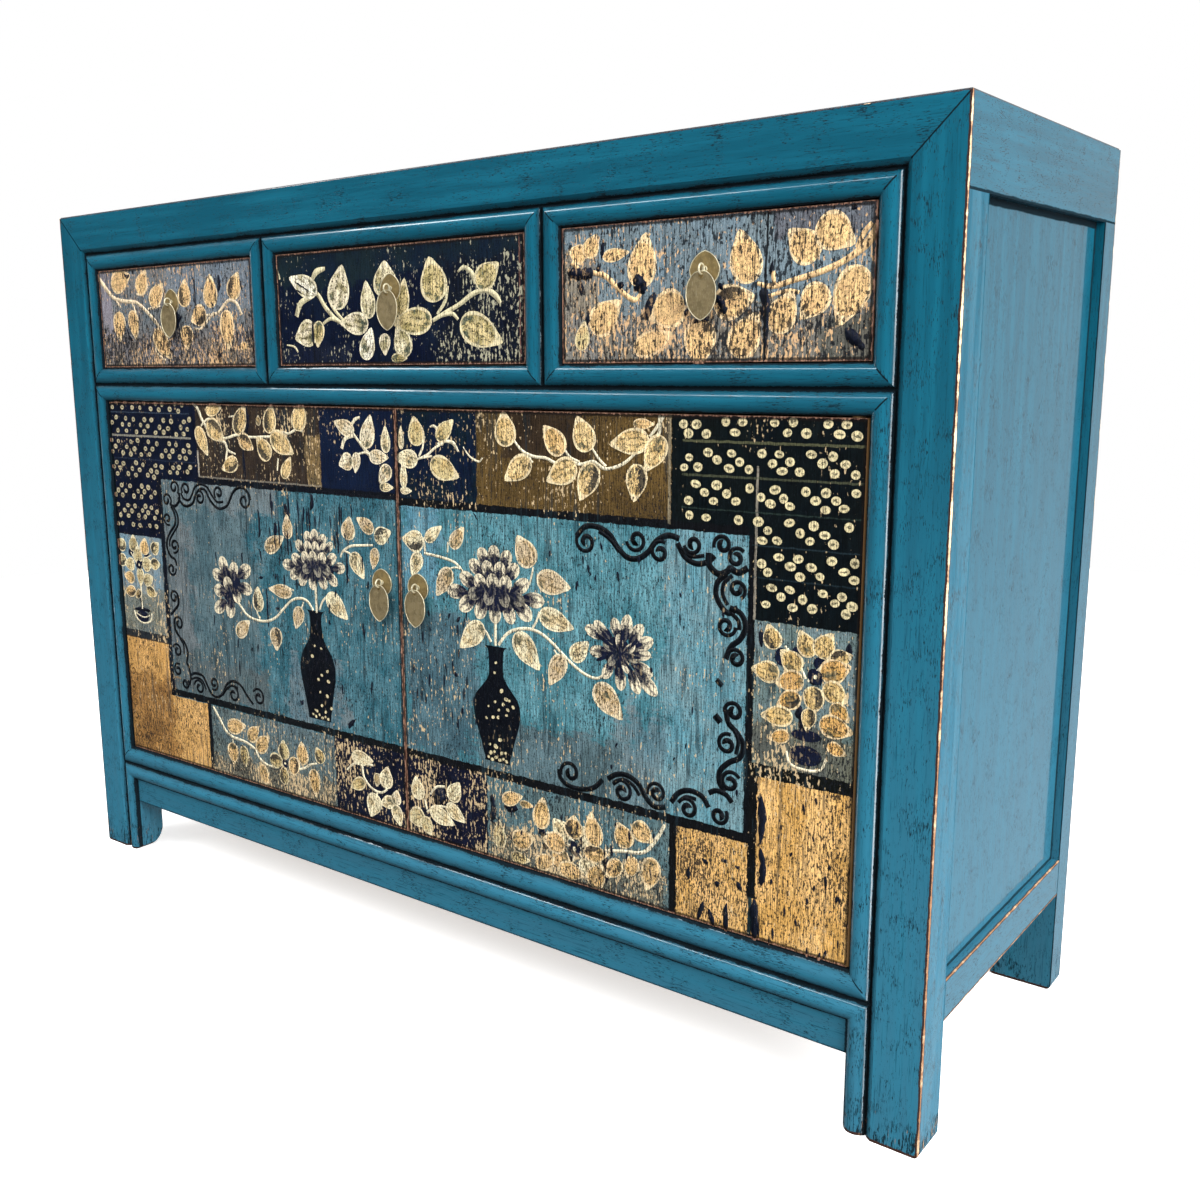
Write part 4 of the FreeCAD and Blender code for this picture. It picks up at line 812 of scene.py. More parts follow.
def shapeTree():
    plot = Plot("paintedShapes", {"Corners": "Int", "Belly": "Float", "Taper": "Float", "Tip": "Float",
                                  "Paint body": "Float", "Paint": "Material"})
    disc = plot.node("GeometryNodeMeshCylinder", {"fill_type": "NGON"},
                     {"Vertices": plot.given("Corners"), "Radius": 1.0, "Depth": 1.0})
    at = plot.node("GeometryNodeInputPosition")
    px, py, pz = plot.split(at)
    # the rim follows sin * (belly + taper * cos), and the tip is drawn out
    wide = plot.maths("ADD", plot.given("Belly"), plot.maths("MULTIPLY", plot.given("Taper"), px))
    ahead = plot.maths("POWER", plot.maths("MAXIMUM", px, 0.0), 9.0)
    drawn = plot.maths("ADD", plot.maths("MULTIPLY", px, 0.88), plot.maths("MULTIPLY", ahead, plot.given("Tip")))
    shaped = plot.joined(drawn, plot.maths("MULTIPLY", py, wide), pz)
    leaf = plot.node("GeometryNodeSetPosition", sockets={"Geometry": disc, "Position": shaped})
    leaf = plot.stored(leaf, "spot", "FLOAT_VECTOR", at)
    length, width, _ = plot.split(plot.named("size", "FLOAT_VECTOR"))
    angles = plot.joined(math.pi / 2, plot.maths("MULTIPLY", plot.named("turn", "FLOAT"), -1.0), 0.0)
    spread = plot.node("GeometryNodeInstanceOnPoints", sockets={
        "Points": plot.node("GeometryNodeMeshToPoints", sockets={"Mesh": plot.given("Geometry")}), "Instance": leaf,
        "Rotation": plot.node("FunctionNodeEulerToRotation", sockets={0: angles}),
        "Scale": plot.joined(length, width, plot.given("Paint body"))})
    return plot.close(spread)


def strokeTree():
    plot = Plot("brushStrokes", {"Paint body": "Float", "Face": "Float", "Tint": "Color", "Paint": "Material"})
    px, py, pz = plot.split(plot.node("GeometryNodeInputPosition"))
    line = plot.stored(plot.given("Geometry"), "lift", "FLOAT", pz)
    line = plot.node("GeometryNodeSetCurveNormal", {"mode": "Z_UP"}, {"Curve": line})
    profile = plot.node("GeometryNodeCurvePrimitiveQuadrilateral", {"mode": "RECTANGLE"},
                        {"Width": 2.0, "Height": 2.0})
    swept = plot.node("GeometryNodeCurveToMesh", sockets={
        "Curve": line, "Profile Curve": profile, "Scale": plot.node("GeometryNodeInputRadius"), "Fill Caps": True})
    # the stroke is pressed flat, as thick as the paint
    lift = plot.named("lift", "FLOAT")
    above = plot.maths("GREATER_THAN", plot.maths("SUBTRACT", pz, lift), 0.0)
    under = plot.maths("MULTIPLY", plot.maths("SUBTRACT", 1.0, above), plot.given("Paint body"))
    flat = plot.joined(px, py, plot.maths("SUBTRACT", lift, under))
    swept = plot.node("GeometryNodeSetPosition", sockets={"Geometry": swept, "Position": flat})
    stood = plot.node("GeometryNodeTransform", sockets={
        "Geometry": swept, "Translation": plot.joined(0.0, plot.given("Face"), 0.0),
        "Rotation": (math.pi / 2, 0.0, 0.0)})
    inked = plot.stored(stood, "tint", "FLOAT_COLOR", plot.given("Tint"))
    return plot.close(plot.stored(inked, "painted", "FLOAT", 1.0))


def wireTree():
    plot = Plot("bentWire", {"Corners": "Int", "Paint": "Material"})
    section = plot.node("GeometryNodeCurvePrimitiveCircle", {"mode": "RADIUS"},
                        {"Resolution": plot.given("Corners"), "Radius": 1.0})
    swept = plot.node("GeometryNodeCurveToMesh", sockets={
        "Curve": plot.given("Geometry"), "Profile Curve": section,
        "Scale": plot.node("GeometryNodeInputRadius"), "Fill Caps": True})
    return plot.close(plot.node("GeometryNodeSetShadeSmooth", sockets={"Geometry": swept, "Shade Smooth": True}))


shapes, strokes, wires = shapeTree(), strokeTree(), wireTree()


def placed(name, mesh, owner):
    piece = linked(name, mesh)
    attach(piece, owner)
    return piece


def settle(thing, plot, values, name, owner):  # runs the tree once and keeps its plain mesh
    modifier = thing.modifiers.new("paint", "NODES")
    modifier.node_group = plot.tree
    for label, value in values.items():
        modifier[plot.ids[label]] = value
    bpy.context.view_layer.update()
    graph = bpy.context.evaluated_depsgraph_get()
    mesh = bpy.data.meshes.new_from_object(thing.evaluated_get(graph), preserve_all_data_layers=True, depsgraph=graph)
    mesh.name = name
    mesh.materials.clear()
    mesh.materials.append(values["Paint"])
    for polygon in mesh.polygons:
        polygon.material_index = 0
    thing.modifiers.remove(modifier)
    bpy.data.objects.remove(thing)
    return placed(name, mesh, owner)


def setAttribute(mesh, name, kind, values):
    layer = mesh.attributes.new(name, kind, "POINT")
    field = {"FLOAT": "value", "FLOAT_VECTOR": "vector", "FLOAT_COLOR": "color"}[kind]
    for item, value in zip(layer.data, values):
        setattr(item, field, value)


def makeCurve(name, paths):  # paths: (closed, [(x, y, z, radius), ...])
    curve = bpy.data.curves.new(name, "CURVE")
    curve.dimensions = "3D"
    for closed, path in paths:
        line = curve.splines.new("POLY")
        line.points.add(len(path) - 1)
        line.use_cyclic_u = closed
        for point, (px, py, pz, radius) in zip(line.points, path):
            point.co = (px * mm, py * mm, pz * mm, 1.0)
            point.radius = radius * mm
    return linked(name + "Path", curve)


paintPlan = {
    "forms": {
        "leaf": {"Corners": 24, "Belly": 1.0, "Taper": -0.14, "Tip": 0.32},
        "dot": {"Corners": 14, "Belly": 1.0, "Taper": 0.0, "Tip": 0.0},
        "petal": {"Corners": 16, "Belly": 0.92, "Taper": 0.22, "Tip": 0.08},
    },
    "body": 0.0006,
    "kinds": {"plain": 0, "leaf": 1, "eye": 2, "petal": 3, "dusk": 4},    # how the material shades a shape
    "strokes": {"body": 0.0005, "step": 0.004},
    "sunk": 0.0003, "slot": "painted_boards",
    "tones": {
        "cream": "e0d4b0", "tan": "deb982", "straw": "c9b684", "bone": "cabd94", "dull": "ada282",
        "peach": "e6bd84", "white": "ded8c4", "dim": "a89a7c", "ink": "10162a", "grey": "8e8878",
        "sand": "c6b190", "pearl": "d9cdb0", "gold": "cfb27a", "amber": "cfa263", "honey": "dfc28c",
    },
}


def paintShapes(owner, label, rows, lift, step, form, kind, tone):
    # rows: (x, z, length, width, degrees), then a tone and a kind of its own where it has them
    board, name = boards[owner], f"{owner}_{label}"
    rows = [(*row[:5], *(row[5:] or (tone,)), kind)[:7] for row in rows]
    mesh = bpy.data.meshes.new(name + "Points")
    mesh.from_pydata([(row[0] * mm, board["face"] - (lift + step * i) * mm + paintPlan["sunk"], row[1] * mm)
                      for i, row in enumerate(rows)], [], [])
    setAttribute(mesh, "turn", "FLOAT", [math.radians(row[4]) for row in rows])
    setAttribute(mesh, "kind", "FLOAT", [float(paintPlan["kinds"][row[6]]) for row in rows])
    setAttribute(mesh, "painted", "FLOAT", [1.0] * len(rows))
    setAttribute(mesh, "size", "FLOAT_VECTOR", [(row[2] / 2 * mm, row[3] / 2 * mm, 1.0) for row in rows])
    setAttribute(mesh, "tint", "FLOAT_COLOR", [paint(paintPlan["tones"][row[5]]) for row in rows])
    values = {"Paint": board["look"], "Paint body": paintPlan["body"], **paintPlan["forms"][form]}
    settle(linked(name + "Points", mesh), shapes, values, name, owner)


def paintStrokes(owner, label, paths, lift, tone):
    # paths: lists of (x, z, width)
    board, name, plan = boards[owner], f"{owner}_{label}", paintPlan["strokes"]
    curve = makeCurve(name, [(False, [(px, pz, lift + plan["step"] * i, width / 2) for px, pz, width in path])
                             for i, path in enumerate(paths)])
    values = {"Face": board["face"], "Tint": paint(tone), "Paint": board["look"], "Paint body": plan["body"]}
    settle(curve, strokes, values, name, owner)


def smoothPath(points, count):  # through the points, as a Catmull-Rom line
    if len(points) < 3:
        return [tuple(p) for p in points]
    padded = [points[0]] + list(points) + [points[-1]]
    out = []
    for i in range(1, len(padded) - 2):
        p0, p1, p2, p3 = (Vector(padded[i + k][:3]) for k in (-1, 0, 1, 2))
        for j in range(count):
            t = j / count
            out.append(tuple(0.5 * ((2 * p1) + (p2 - p0) * t + (2 * p0 - 5 * p1 + 4 * p2 - p3) * t * t
                                    + (3 * p1 - p0 - 3 * p2 + p3) * t ** 3)))
    out.append(tuple(points[-1][:3]))
    return out


def roughened(points, chance):  # a worn mark: uneven, thin at both ends
    if len(points) == 2:
        a, b = points
        points = [tuple(p + (q - p) * share for p, q in zip(a, b)) for share in (0.0, 0.25, 0.5, 0.75, 1.0)]
    out, last = [], len(points) - 1
    for i, (px, pz, width) in enumerate(points):
        ends = 0.2 if i in (0, last) else 0.75 if i in (1, last - 1) else 1.0
        out.append((px + chance.uniform(-0.7, 0.7), pz, width * ends * chance.uniform(0.65, 1.3)))
    return out


spiralPlan = {"perTurn": 22, "least": 14, "wound": 0.88, "heart": 1.2, "tightening": 0.8, "blobFrom": 0.8}


def spiral(cx, cz, radius, start, turns, width=3.4, blob=3.4):  # from the rim inwards, turns > 0 goes anticlockwise
    plan = spiralPlan
    points, count = [], max(plan["least"], int(abs(turns) * plan["perTurn"]))
    turns *= plan["wound"]
    for i in range(count + 1):
        share = i / count
        angle = math.radians(start) + turns * 2 * math.pi * share
        r = radius * (1 - share) ** plan["tightening"] + plan["heart"] * share
        ending = blob * max(0.0, share - plan["blobFrom"]) * 3.6   # the brush is pressed down at the end
        points.append((cx + r * math.cos(angle), cz + r * math.sin(angle), width * (0.85 + 0.35 * share) + ending))
    return points


# everything below is in millimetres

dots = {  # (x, z)
    "door_left": [
        (-506, 623), (-486, 623), (-461, 623), (-445, 622), (-420, 622), (-407, 621), (-380, 622), (-366, 621),
        (-515, 616), (-493, 616), (-471, 616), (-454, 616), (-431, 615), (-414, 614), (-391, 615), (-374, 613),
        (-508, 603), (-487, 602), (-470, 601), (-446, 601), (-431, 601), (-406, 601), (-390, 600), (-364, 600),
        (-353, 603), (-518, 596), (-495, 594), (-480, 594), (-455, 594), (-440, 593), (-415, 592), (-397, 591),
        (-371, 593), (-358, 591), (-506, 586), (-487, 586), (-465, 585), (-448, 586), (-424, 585), (-407, 586),
        (-381, 584), (-366, 585), (-522, 573), (-507, 572), (-479, 572), (-464, 574), (-441, 573), (-423, 571),
        (-397, 572), (-383, 571), (-358, 571), (-514, 565), (-489, 565), (-472, 563), (-448, 564), (-433, 564),
        (-405, 563), (-391, 563), (-368, 564), (-356, 563), (-521, 558), (-498, 557), (-481, 556), (-458, 556),
        (-440, 557), (-414, 556), (-398, 556), (-377, 556), (-365, 555), (-514, 544), (-499, 543), (-471, 545),
        (-456, 543), (-429, 543), (-416, 542), (-392, 542), (-380, 543), (-357, 544), (-521, 538), (-507, 537),
        (-480, 537), (-464, 536), (-439, 536), (-427, 535), (-399, 536), (-384, 536), (-363, 538), (-514, 529),
        (-490, 530), (-473, 529), (-447, 530), (-434, 528), (-507, 514), (-488, 514), (-462, 515), (-448, 514),
        (-515, 507), (-498, 507), (-471, 508), (-457, 508), (-434, 508), (-521, 501), (-506, 501), (-481, 501),
        (-464, 501), (-443, 502), (-518, 488), (-496, 488), (-480, 488), (-457, 489), (-444, 488), (-504, 481),
        (-488, 481), (-464, 483), (-452, 481), (-433, 483), (-514, 474), (-496, 474), (-473, 476), (-459, 475),
        (-438, 475), (-521, 462), (-511, 463), (-487, 463), (-472, 463), (-450, 464), (-436, 464),
    ],
    "door_right": [
        (353, 614), (366, 614), (395, 617), (411, 617), (441, 617), (458, 618), (489, 617), (505, 617), (358, 606),
        (376, 606), (404, 608), (453, 609), (470, 609), (499, 609), (514, 608), (378, 590), (401, 590), (430, 591),
        (446, 591), (475, 592), (494, 591), (359, 585), (387, 584), (409, 583), (440, 583), (456, 585), (485, 585),
        (505, 585), (354, 576), (368, 577), (399, 577), (418, 577), (449, 577), (465, 577), (496, 577), (514, 577),
        (366, 562), (387, 562), (419, 561), (443, 561), (471, 561), (489, 561), (515, 562), (375, 555), (397, 555),
        (430, 554), (451, 554), (480, 554), (498, 555), (359, 547), (384, 548), (406, 549), (439, 549), (457, 548),
        (489, 547), (505, 549), (360, 534), (377, 533), (409, 533), (428, 533), (457, 534), (479, 533), (510, 534),
        (437, 526), (467, 526), (489, 526), (432, 517), (446, 518), (476, 520), (497, 519), (448, 504), (466, 504),
        (496, 505), (516, 505), (432, 497), (459, 497), (478, 498), (507, 497), (438, 490), (468, 489), (486, 491),
        (516, 491), (442, 477), (459, 477), (489, 477), (506, 476), (451, 470), (471, 470), (500, 470), (515, 469),
        (437, 462), (462, 462), (480, 463), (510, 462),
    ],
}
# shapes: (x, z, length, width, degrees), then a tone and a kind of its own
leaves = {
    "door_left": [
        (-306, 616, 30, 16, 10, "honey"), (-305, 592, 36, 26, -35, "honey", "dusk"),
        (-256, 603, 38, 24, 62, "honey", "dusk"), (-331, 580, 38, 20, -62, "honey"),
        (-277, 551, 32, 20, 200, "honey", "dusk"), (-248, 579, 28, 20, -30, "tan", "dusk"),
        (-202, 605, 34, 23, 75, "honey", "dusk"), (-214, 571, 32, 24, 130, "honey", "dusk"),
        (-185, 580, 42, 26, -28, "honey"), (-151, 609, 34, 25, 72, "honey"), (-177, 550, 28, 16, 60, "honey"),
        (-222, 604, 12, 8, 90, "dim"), (-76, 600, 32, 18, 160, "pearl"), (-42, 594, 36, 22, 76, "pearl"),
        (-28, 570, 28, 16, 0, "pearl"), (-76, 563, 22, 20, 200, "pearl"), (-61, 564, 22, 13, 262, "pearl"),
        (-15, 587, 28, 14, 90, "cream"), (-17, 553, 24, 18, 230, "pearl"), (-17, 538, 20, 10, 0, "cream"),
        (-207, 460, 38, 20, 28, "sand"), (-180, 481, 28, 18, 90, "sand"), (-195, 405, 40, 17, 178, "sand"),
        (-240, 388, 30, 20, 88, "cream", "dusk"), (-273, 349, 32, 20, 40, "sand"),
        (-210, 347, 28, 22, 270, "sand", "dusk"), (-168, 378, 28, 19, 250, "sand"), (-103, 399, 40, 24, -38, "cream"),
        (-78, 487, 26, 22, 80, "sand"), (-66, 450, 32, 21, -58, "cream"), (-49, 494, 28, 17, 152, "sand"),
        (-26, 485, 26, 20, 20, "cream", "dusk"), (-38, 460, 24, 14, 258, "sand"), (-298, 220, 36, 21, 12),
        (-264, 216, 28, 19, 45), (-247, 206, 32, 21, 42), (-305, 185, 28, 22, 270), (-283, 185, 28, 18, 275, "straw"),
        (-247, 168, 28, 19, 292), (-207, 205, 24, 20, 90, "straw", "dusk"), (-222, 190, 26, 20, 0, "straw", "dusk"),
        (-189, 190, 26, 20, 250, "tan", "dusk"), (-208, 173, 24, 18, 90, "straw", "dusk"), (-173, 207, 28, 21, 92),
        (-153, 178, 34, 20, 275), (-142, 211, 20, 18, 120, "straw", "dusk"), (-72, 223, 34, 18, 0, "cream"),
        (-46, 203, 16, 12, 260, "dim"), (-32, 206, 26, 21, 80, "cream"), (-77, 191, 26, 16, 208, "straw"),
        (-53, 172, 30, 24, 250, "cream"), (-30, 179, 22, 16, 200, "cream"), (-17, 186, 18, 15, 80, "pearl"),
        (-16, 168, 24, 17, 290, "cream"), (-517, 434, 22, 18, 160, "bone", "dusk"), (-490, 436, 22, 20, 90, "bone"),
        (-466, 434, 22, 20, 80), (-443, 435, 20, 18, 40, "bone", "dusk"), (-518, 413, 22, 18, 190, "bone", "dusk"),
        (-500, 409, 22, 18, 180, "bone"), (-482, 422, 22, 20, 90, "bone"), (-463, 412, 22, 20, 10, "bone"),
        (-445, 414, 20, 16, 0, "bone", "dusk"), (-479, 395, 24, 16, 268, "bone"), (-503, 391, 22, 17, 170),
        (-463, 391, 22, 18, 20, "bone"), (-503, 372, 24, 16, 190, "tan", "dusk"),
        (-458, 376, 22, 16, 340, "straw", "dusk"), (-486, 370, 16, 12, 220, "dim", "dusk"),
    ],
    "door_right": [
        (30, 597, 30, 23, 100, "straw"), (69, 600, 30, 18, 42, "straw"), (17, 570, 32, 20, 178, "cream"),
        (66, 562, 40, 25, -20, "straw"), (8, 590, 24, 8, 90, "cream"), (10, 551, 28, 10, 90, "cream"),
        (12, 536, 16, 8, 0, "cream"), (150, 602, 34, 27, 96, "honey"), (167, 567, 38, 24, 215, "honey"),
        (211, 594, 34, 24, 132), (221, 566, 38, 26, 207, "honey"), (245, 600, 34, 26, 112, "honey"),
        (250, 560, 38, 25, 244, "honey", "dusk"), (299, 597, 42, 24, 188, "honey"), (324, 589, 36, 23, 240, "honey"),
        (304, 562, 34, 23, 262, "honey", "dusk"), (310, 613, 22, 10, 0), (23, 483, 30, 24, 176, "cream", "dusk"),
        (25, 460, 28, 18, 246, "cream"), (49, 492, 28, 14, 36, "cream"), (83, 490, 28, 17, 52, "sand"),
        (65, 445, 36, 21, 236, "sand"), (174, 483, 34, 27, 122, "sand"), (205, 457, 40, 25, -8, "sand"),
        (208, 420, 42, 23, -14, "cream"), (172, 386, 44, 27, -48, "cream"), (103, 392, 42, 24, 222, "cream"),
        (212, 372, 36, 21, 242, "sand"), (238, 392, 28, 19, 44, "cream"), (271, 350, 42, 27, -44, "sand"),
        (17, 204, 26, 20, 100, "cream"), (15, 172, 26, 24, 200, "bone"), (29, 166, 22, 18, 300, "bone"),
        (50, 181, 36, 20, -16, "cream"), (71, 190, 30, 17, -28, "cream"), (71, 212, 26, 20, 60, "cream"),
        (150, 223, 28, 16, 20), (170, 221, 18, 8, 0), (190, 214, 34, 22, 82), (164, 181, 30, 23, 20),
        (216, 203, 26, 24, 135, "cream"), (247, 204, 26, 24, 45, "cream"), (214, 173, 26, 24, 225, "peach"),
        (249, 173, 26, 24, 315, "cream"), (208, 189, 28, 24, 180, "peach"), (231, 209, 24, 24, 90, "tan", "dusk"),
        (256, 189, 28, 20, 10, "tan", "dusk"), (255, 211, 34, 22, 100), (258, 165, 28, 23, 60), (226, 163, 32, 20, 0),
        (280, 180, 26, 18, 230), (291, 215, 26, 23, 120), (311, 225, 26, 22, -30), (300, 187, 24, 17, 250),
        (322, 187, 34, 22, 258), (134, 178, 30, 18, 90, "bone"), (193, 164, 28, 18, 30),
        (160, 160, 24, 14, 0, "straw"), (444, 433, 22, 18, 110, "gold", "dusk"), (440, 403, 26, 20, 176, "gold"),
        (476, 431, 24, 18, 118, "gold"), (492, 432, 24, 20, 62, "gold"), (506, 424, 20, 16, 20, "gold", "dusk"),
        (463, 415, 24, 20, 140, "gold"), (463, 398, 26, 20, 196, "amber"), (501, 412, 28, 22, 24, "amber"),
        (502, 394, 24, 20, 330, "gold"), (484, 386, 24, 20, 270, "gold", "dusk"),
        (462, 381, 24, 18, 210, "amber", "dusk"), (507, 378, 20, 16, 320, "amber"), (452, 365, 30, 19, 186, "gold"),
        (503, 364, 30, 21, 352, "amber"), (480, 368, 20, 14, 260, "gold", "dusk"), (454, 347, 20, 13, 200, "amber"),
        (505, 345, 18, 12, 340, "amber"),
    ],
    "drawer_left": [
        (-479, 774, 42, 28, 16), (-432, 769, 32, 24, 58), (-404, 753, 36, 24, 44), (-485, 721, 36, 26, 268),
        (-454, 722, 36, 22, 280), (-398, 697, 46, 27, -48), (-347, 752, 32, 25, 82, "tan", "dusk"),
        (-347, 704, 28, 25, 268, "tan", "dusk"), (-320, 727, 30, 26, 200, "tan", "dusk"), (-297, 752, 38, 26, 88),
        (-253, 757, 32, 25, 62, "tan", "dusk"), (-269, 712, 46, 26, 272), (-240, 690, 14, 10, 0),
    ],
    "drawer_middle": [
        (-131, 753, 46, 24, 158, "white"), (-78, 746, 46, 33, 76, "pearl"), (-131, 702, 34, 30, 196, "pearl"),
        (-112, 703, 28, 18, 262, "straw"), (-53, 711, 42, 24, 176, "pearl"), (-8, 752, 36, 34, 90, "cream"),
        (-34, 732, 38, 22, 96, "cream"), (16, 732, 38, 20, 80, "straw"), (-37, 687, 34, 22, 70, "white"),
        (-11, 690, 22, 16, 270, "pearl"), (15, 689, 34, 25, 112, "cream"), (8, 674, 22, 10, 0, "straw"),
        (33, 711, 54, 28, 182, "straw"), (60, 748, 44, 36, 102, "straw"), (129, 751, 34, 26, 36, "straw"),
        (118, 700, 56, 33, -22, "straw"),
    ],
    "drawer_right": [
        (240, 765, 20, 18, 160), (254, 770, 22, 18, 60), (279, 762, 28, 12, 6), (309, 752, 46, 30, 82),
        (268, 707, 40, 30, 40), (337, 713, 38, 34, 200), (398, 717, 38, 30, 10, "tan", "dusk"),
        (368, 686, 40, 32, 268), (318, 684, 42, 22, 20), (411, 750, 44, 30, 104), (411, 687, 40, 30, 60),
        (445, 705, 36, 27, 62), (464, 758, 34, 28, 136), (488, 768, 36, 31, -30), (474, 716, 32, 26, 232),
        (505, 721, 48, 31, 248), (244, 690, 26, 16, 80, "straw"),
    ],
}
petals = {  # flower heads, outwards from their middle
    "door_left": [
        (-145, 471, 21, 14, 108), (-134, 474, 21, 14, 90), (-122, 470, 21, 14, 62), (-158, 461, 22, 14, 140),
        (-145, 460, 21, 14, 112), (-133, 460, 21, 14, 92), (-120, 460, 21, 14, 60), (-111, 464, 19, 11, 46),
        (-179, 438, 26, 15, 178), (-165, 445, 23, 15, 152), (-150, 447, 22, 15, 116), (-138, 448, 22, 15, 95),
        (-124, 448, 22, 15, 70), (-109, 450, 23, 14, 40), (-96, 442, 23, 14, 8), (-168, 430, 26, 15, 215),
        (-156, 425, 23, 15, 238), (-140, 423, 23, 15, 268), (-124, 425, 23, 15, 300), (-109, 429, 26, 14, 326),
        (-148, 437, 20, 13, 200, "grey"), (-132, 437, 20, 13, 290, "grey"), (-118, 439, 20, 13, 330, "grey"),
        (-302, 424, 29, 18, 108), (-313, 412, 26, 17, 160), (-283, 420, 26, 17, 82), (-264, 421, 31, 19, 30),
        (-311, 393, 26, 18, 176), (-295, 402, 23, 18, 120), (-264, 401, 29, 17, -8), (-280, 391, 22, 17, 290),
        (-312, 374, 31, 18, 214), (-293, 374, 29, 18, 262),
    ],
    "door_right": [
        (119, 474, 23, 16, 116), (133, 477, 23, 16, 92), (148, 474, 23, 16, 64), (110, 462, 26, 16, 142),
        (125, 461, 23, 16, 110), (140, 461, 23, 16, 80), (156, 462, 25, 16, 48), (99, 448, 29, 17, 154),
        (115, 446, 25, 17, 122), (131, 447, 25, 17, 96), (147, 447, 25, 17, 76), (166, 448, 29, 16, 36),
        (83, 435, 31, 17, 182), (182, 437, 31, 17, 0), (97, 425, 31, 18, 218), (115, 421, 27, 17, 244),
        (133, 419, 26, 17, 270), (151, 421, 27, 17, 292), (169, 425, 30, 18, 322), (108, 436, 23, 15, 200, "grey"),
        (126, 435, 22, 15, 250, "grey"), (145, 435, 22, 15, 300, "grey"), (162, 436, 22, 15, 340, "grey"),
        (259, 414, 29, 14, 164), (266, 417, 26, 12, 138), (282, 420, 24, 12, 104), (293, 422, 30, 14, 80),
        (304, 418, 27, 13, 54), (311, 409, 29, 14, 30), (309, 399, 25, 12, 8), (310, 386, 29, 14, 338),
        (315, 374, 36, 15, 318), (302, 373, 28, 13, 296), (287, 373, 25, 13, 272), (273, 380, 24, 12, 240),
        (263, 396, 25, 13, 186), (296, 402, 20, 9, 40), (286, 407, 20, 9, 100), (275, 402, 19, 9, 160, "grey"),
        (279, 391, 19, 9, 230, "grey"), (292, 388, 20, 9, 290), (299, 395, 19, 9, 345, "grey"),
    ],
}
hearts = {  # the dark middles of the flower heads
    "door_left": [
        (-480, 412, 20, 18, 0), (-480, 340, 30, 16, 0), (-497, 425, 12, 10, 0), (-462, 424, 12, 10, 0),
        (-137, 438, 76, 31, 0), (-134, 459, 44, 27, 0), (-290, 400, 46, 42, 0),
    ],
    "door_right": [
        (453, 418, 14, 16, 0), (489, 417, 14, 12, 0), (468, 424, 12, 10, 0), (478, 352, 12, 28, 90),
        (478, 334, 34, 18, 0), (133, 435, 86, 32, 0), (133, 459, 46, 28, 0), (283, 398, 38, 30, 0),
    ],
}
eyes = {  # dark stars and their pale specks, over the petals
    "door_left": [
        (-480, 410, 13, 12, 30), (-480, 410, 4, 4, 0, "cream"), (-205, 190, 11, 11, 20),
        (-205, 190, 4, 3, 0, "cream"),
    ],
    "door_right": [
        (485, 405, 15, 11, 30), (485, 405, 11, 15, 30), (485, 405, 4, 4, 0, "cream"), (232, 188, 17, 11, 20),
        (232, 188, 11, 17, 20), (232, 188, 5, 5, 0, "cream"), (268, 408, 24, 4, 150), (276, 412, 20, 3, 118),
        (288, 412, 22, 3, 88), (300, 407, 21, 3, 40), (302, 396, 18, 3, 0), (298, 384, 22, 3, 314),
        (282, 383, 18, 3, 262), (266, 390, 18, 4, 205),
    ],
}
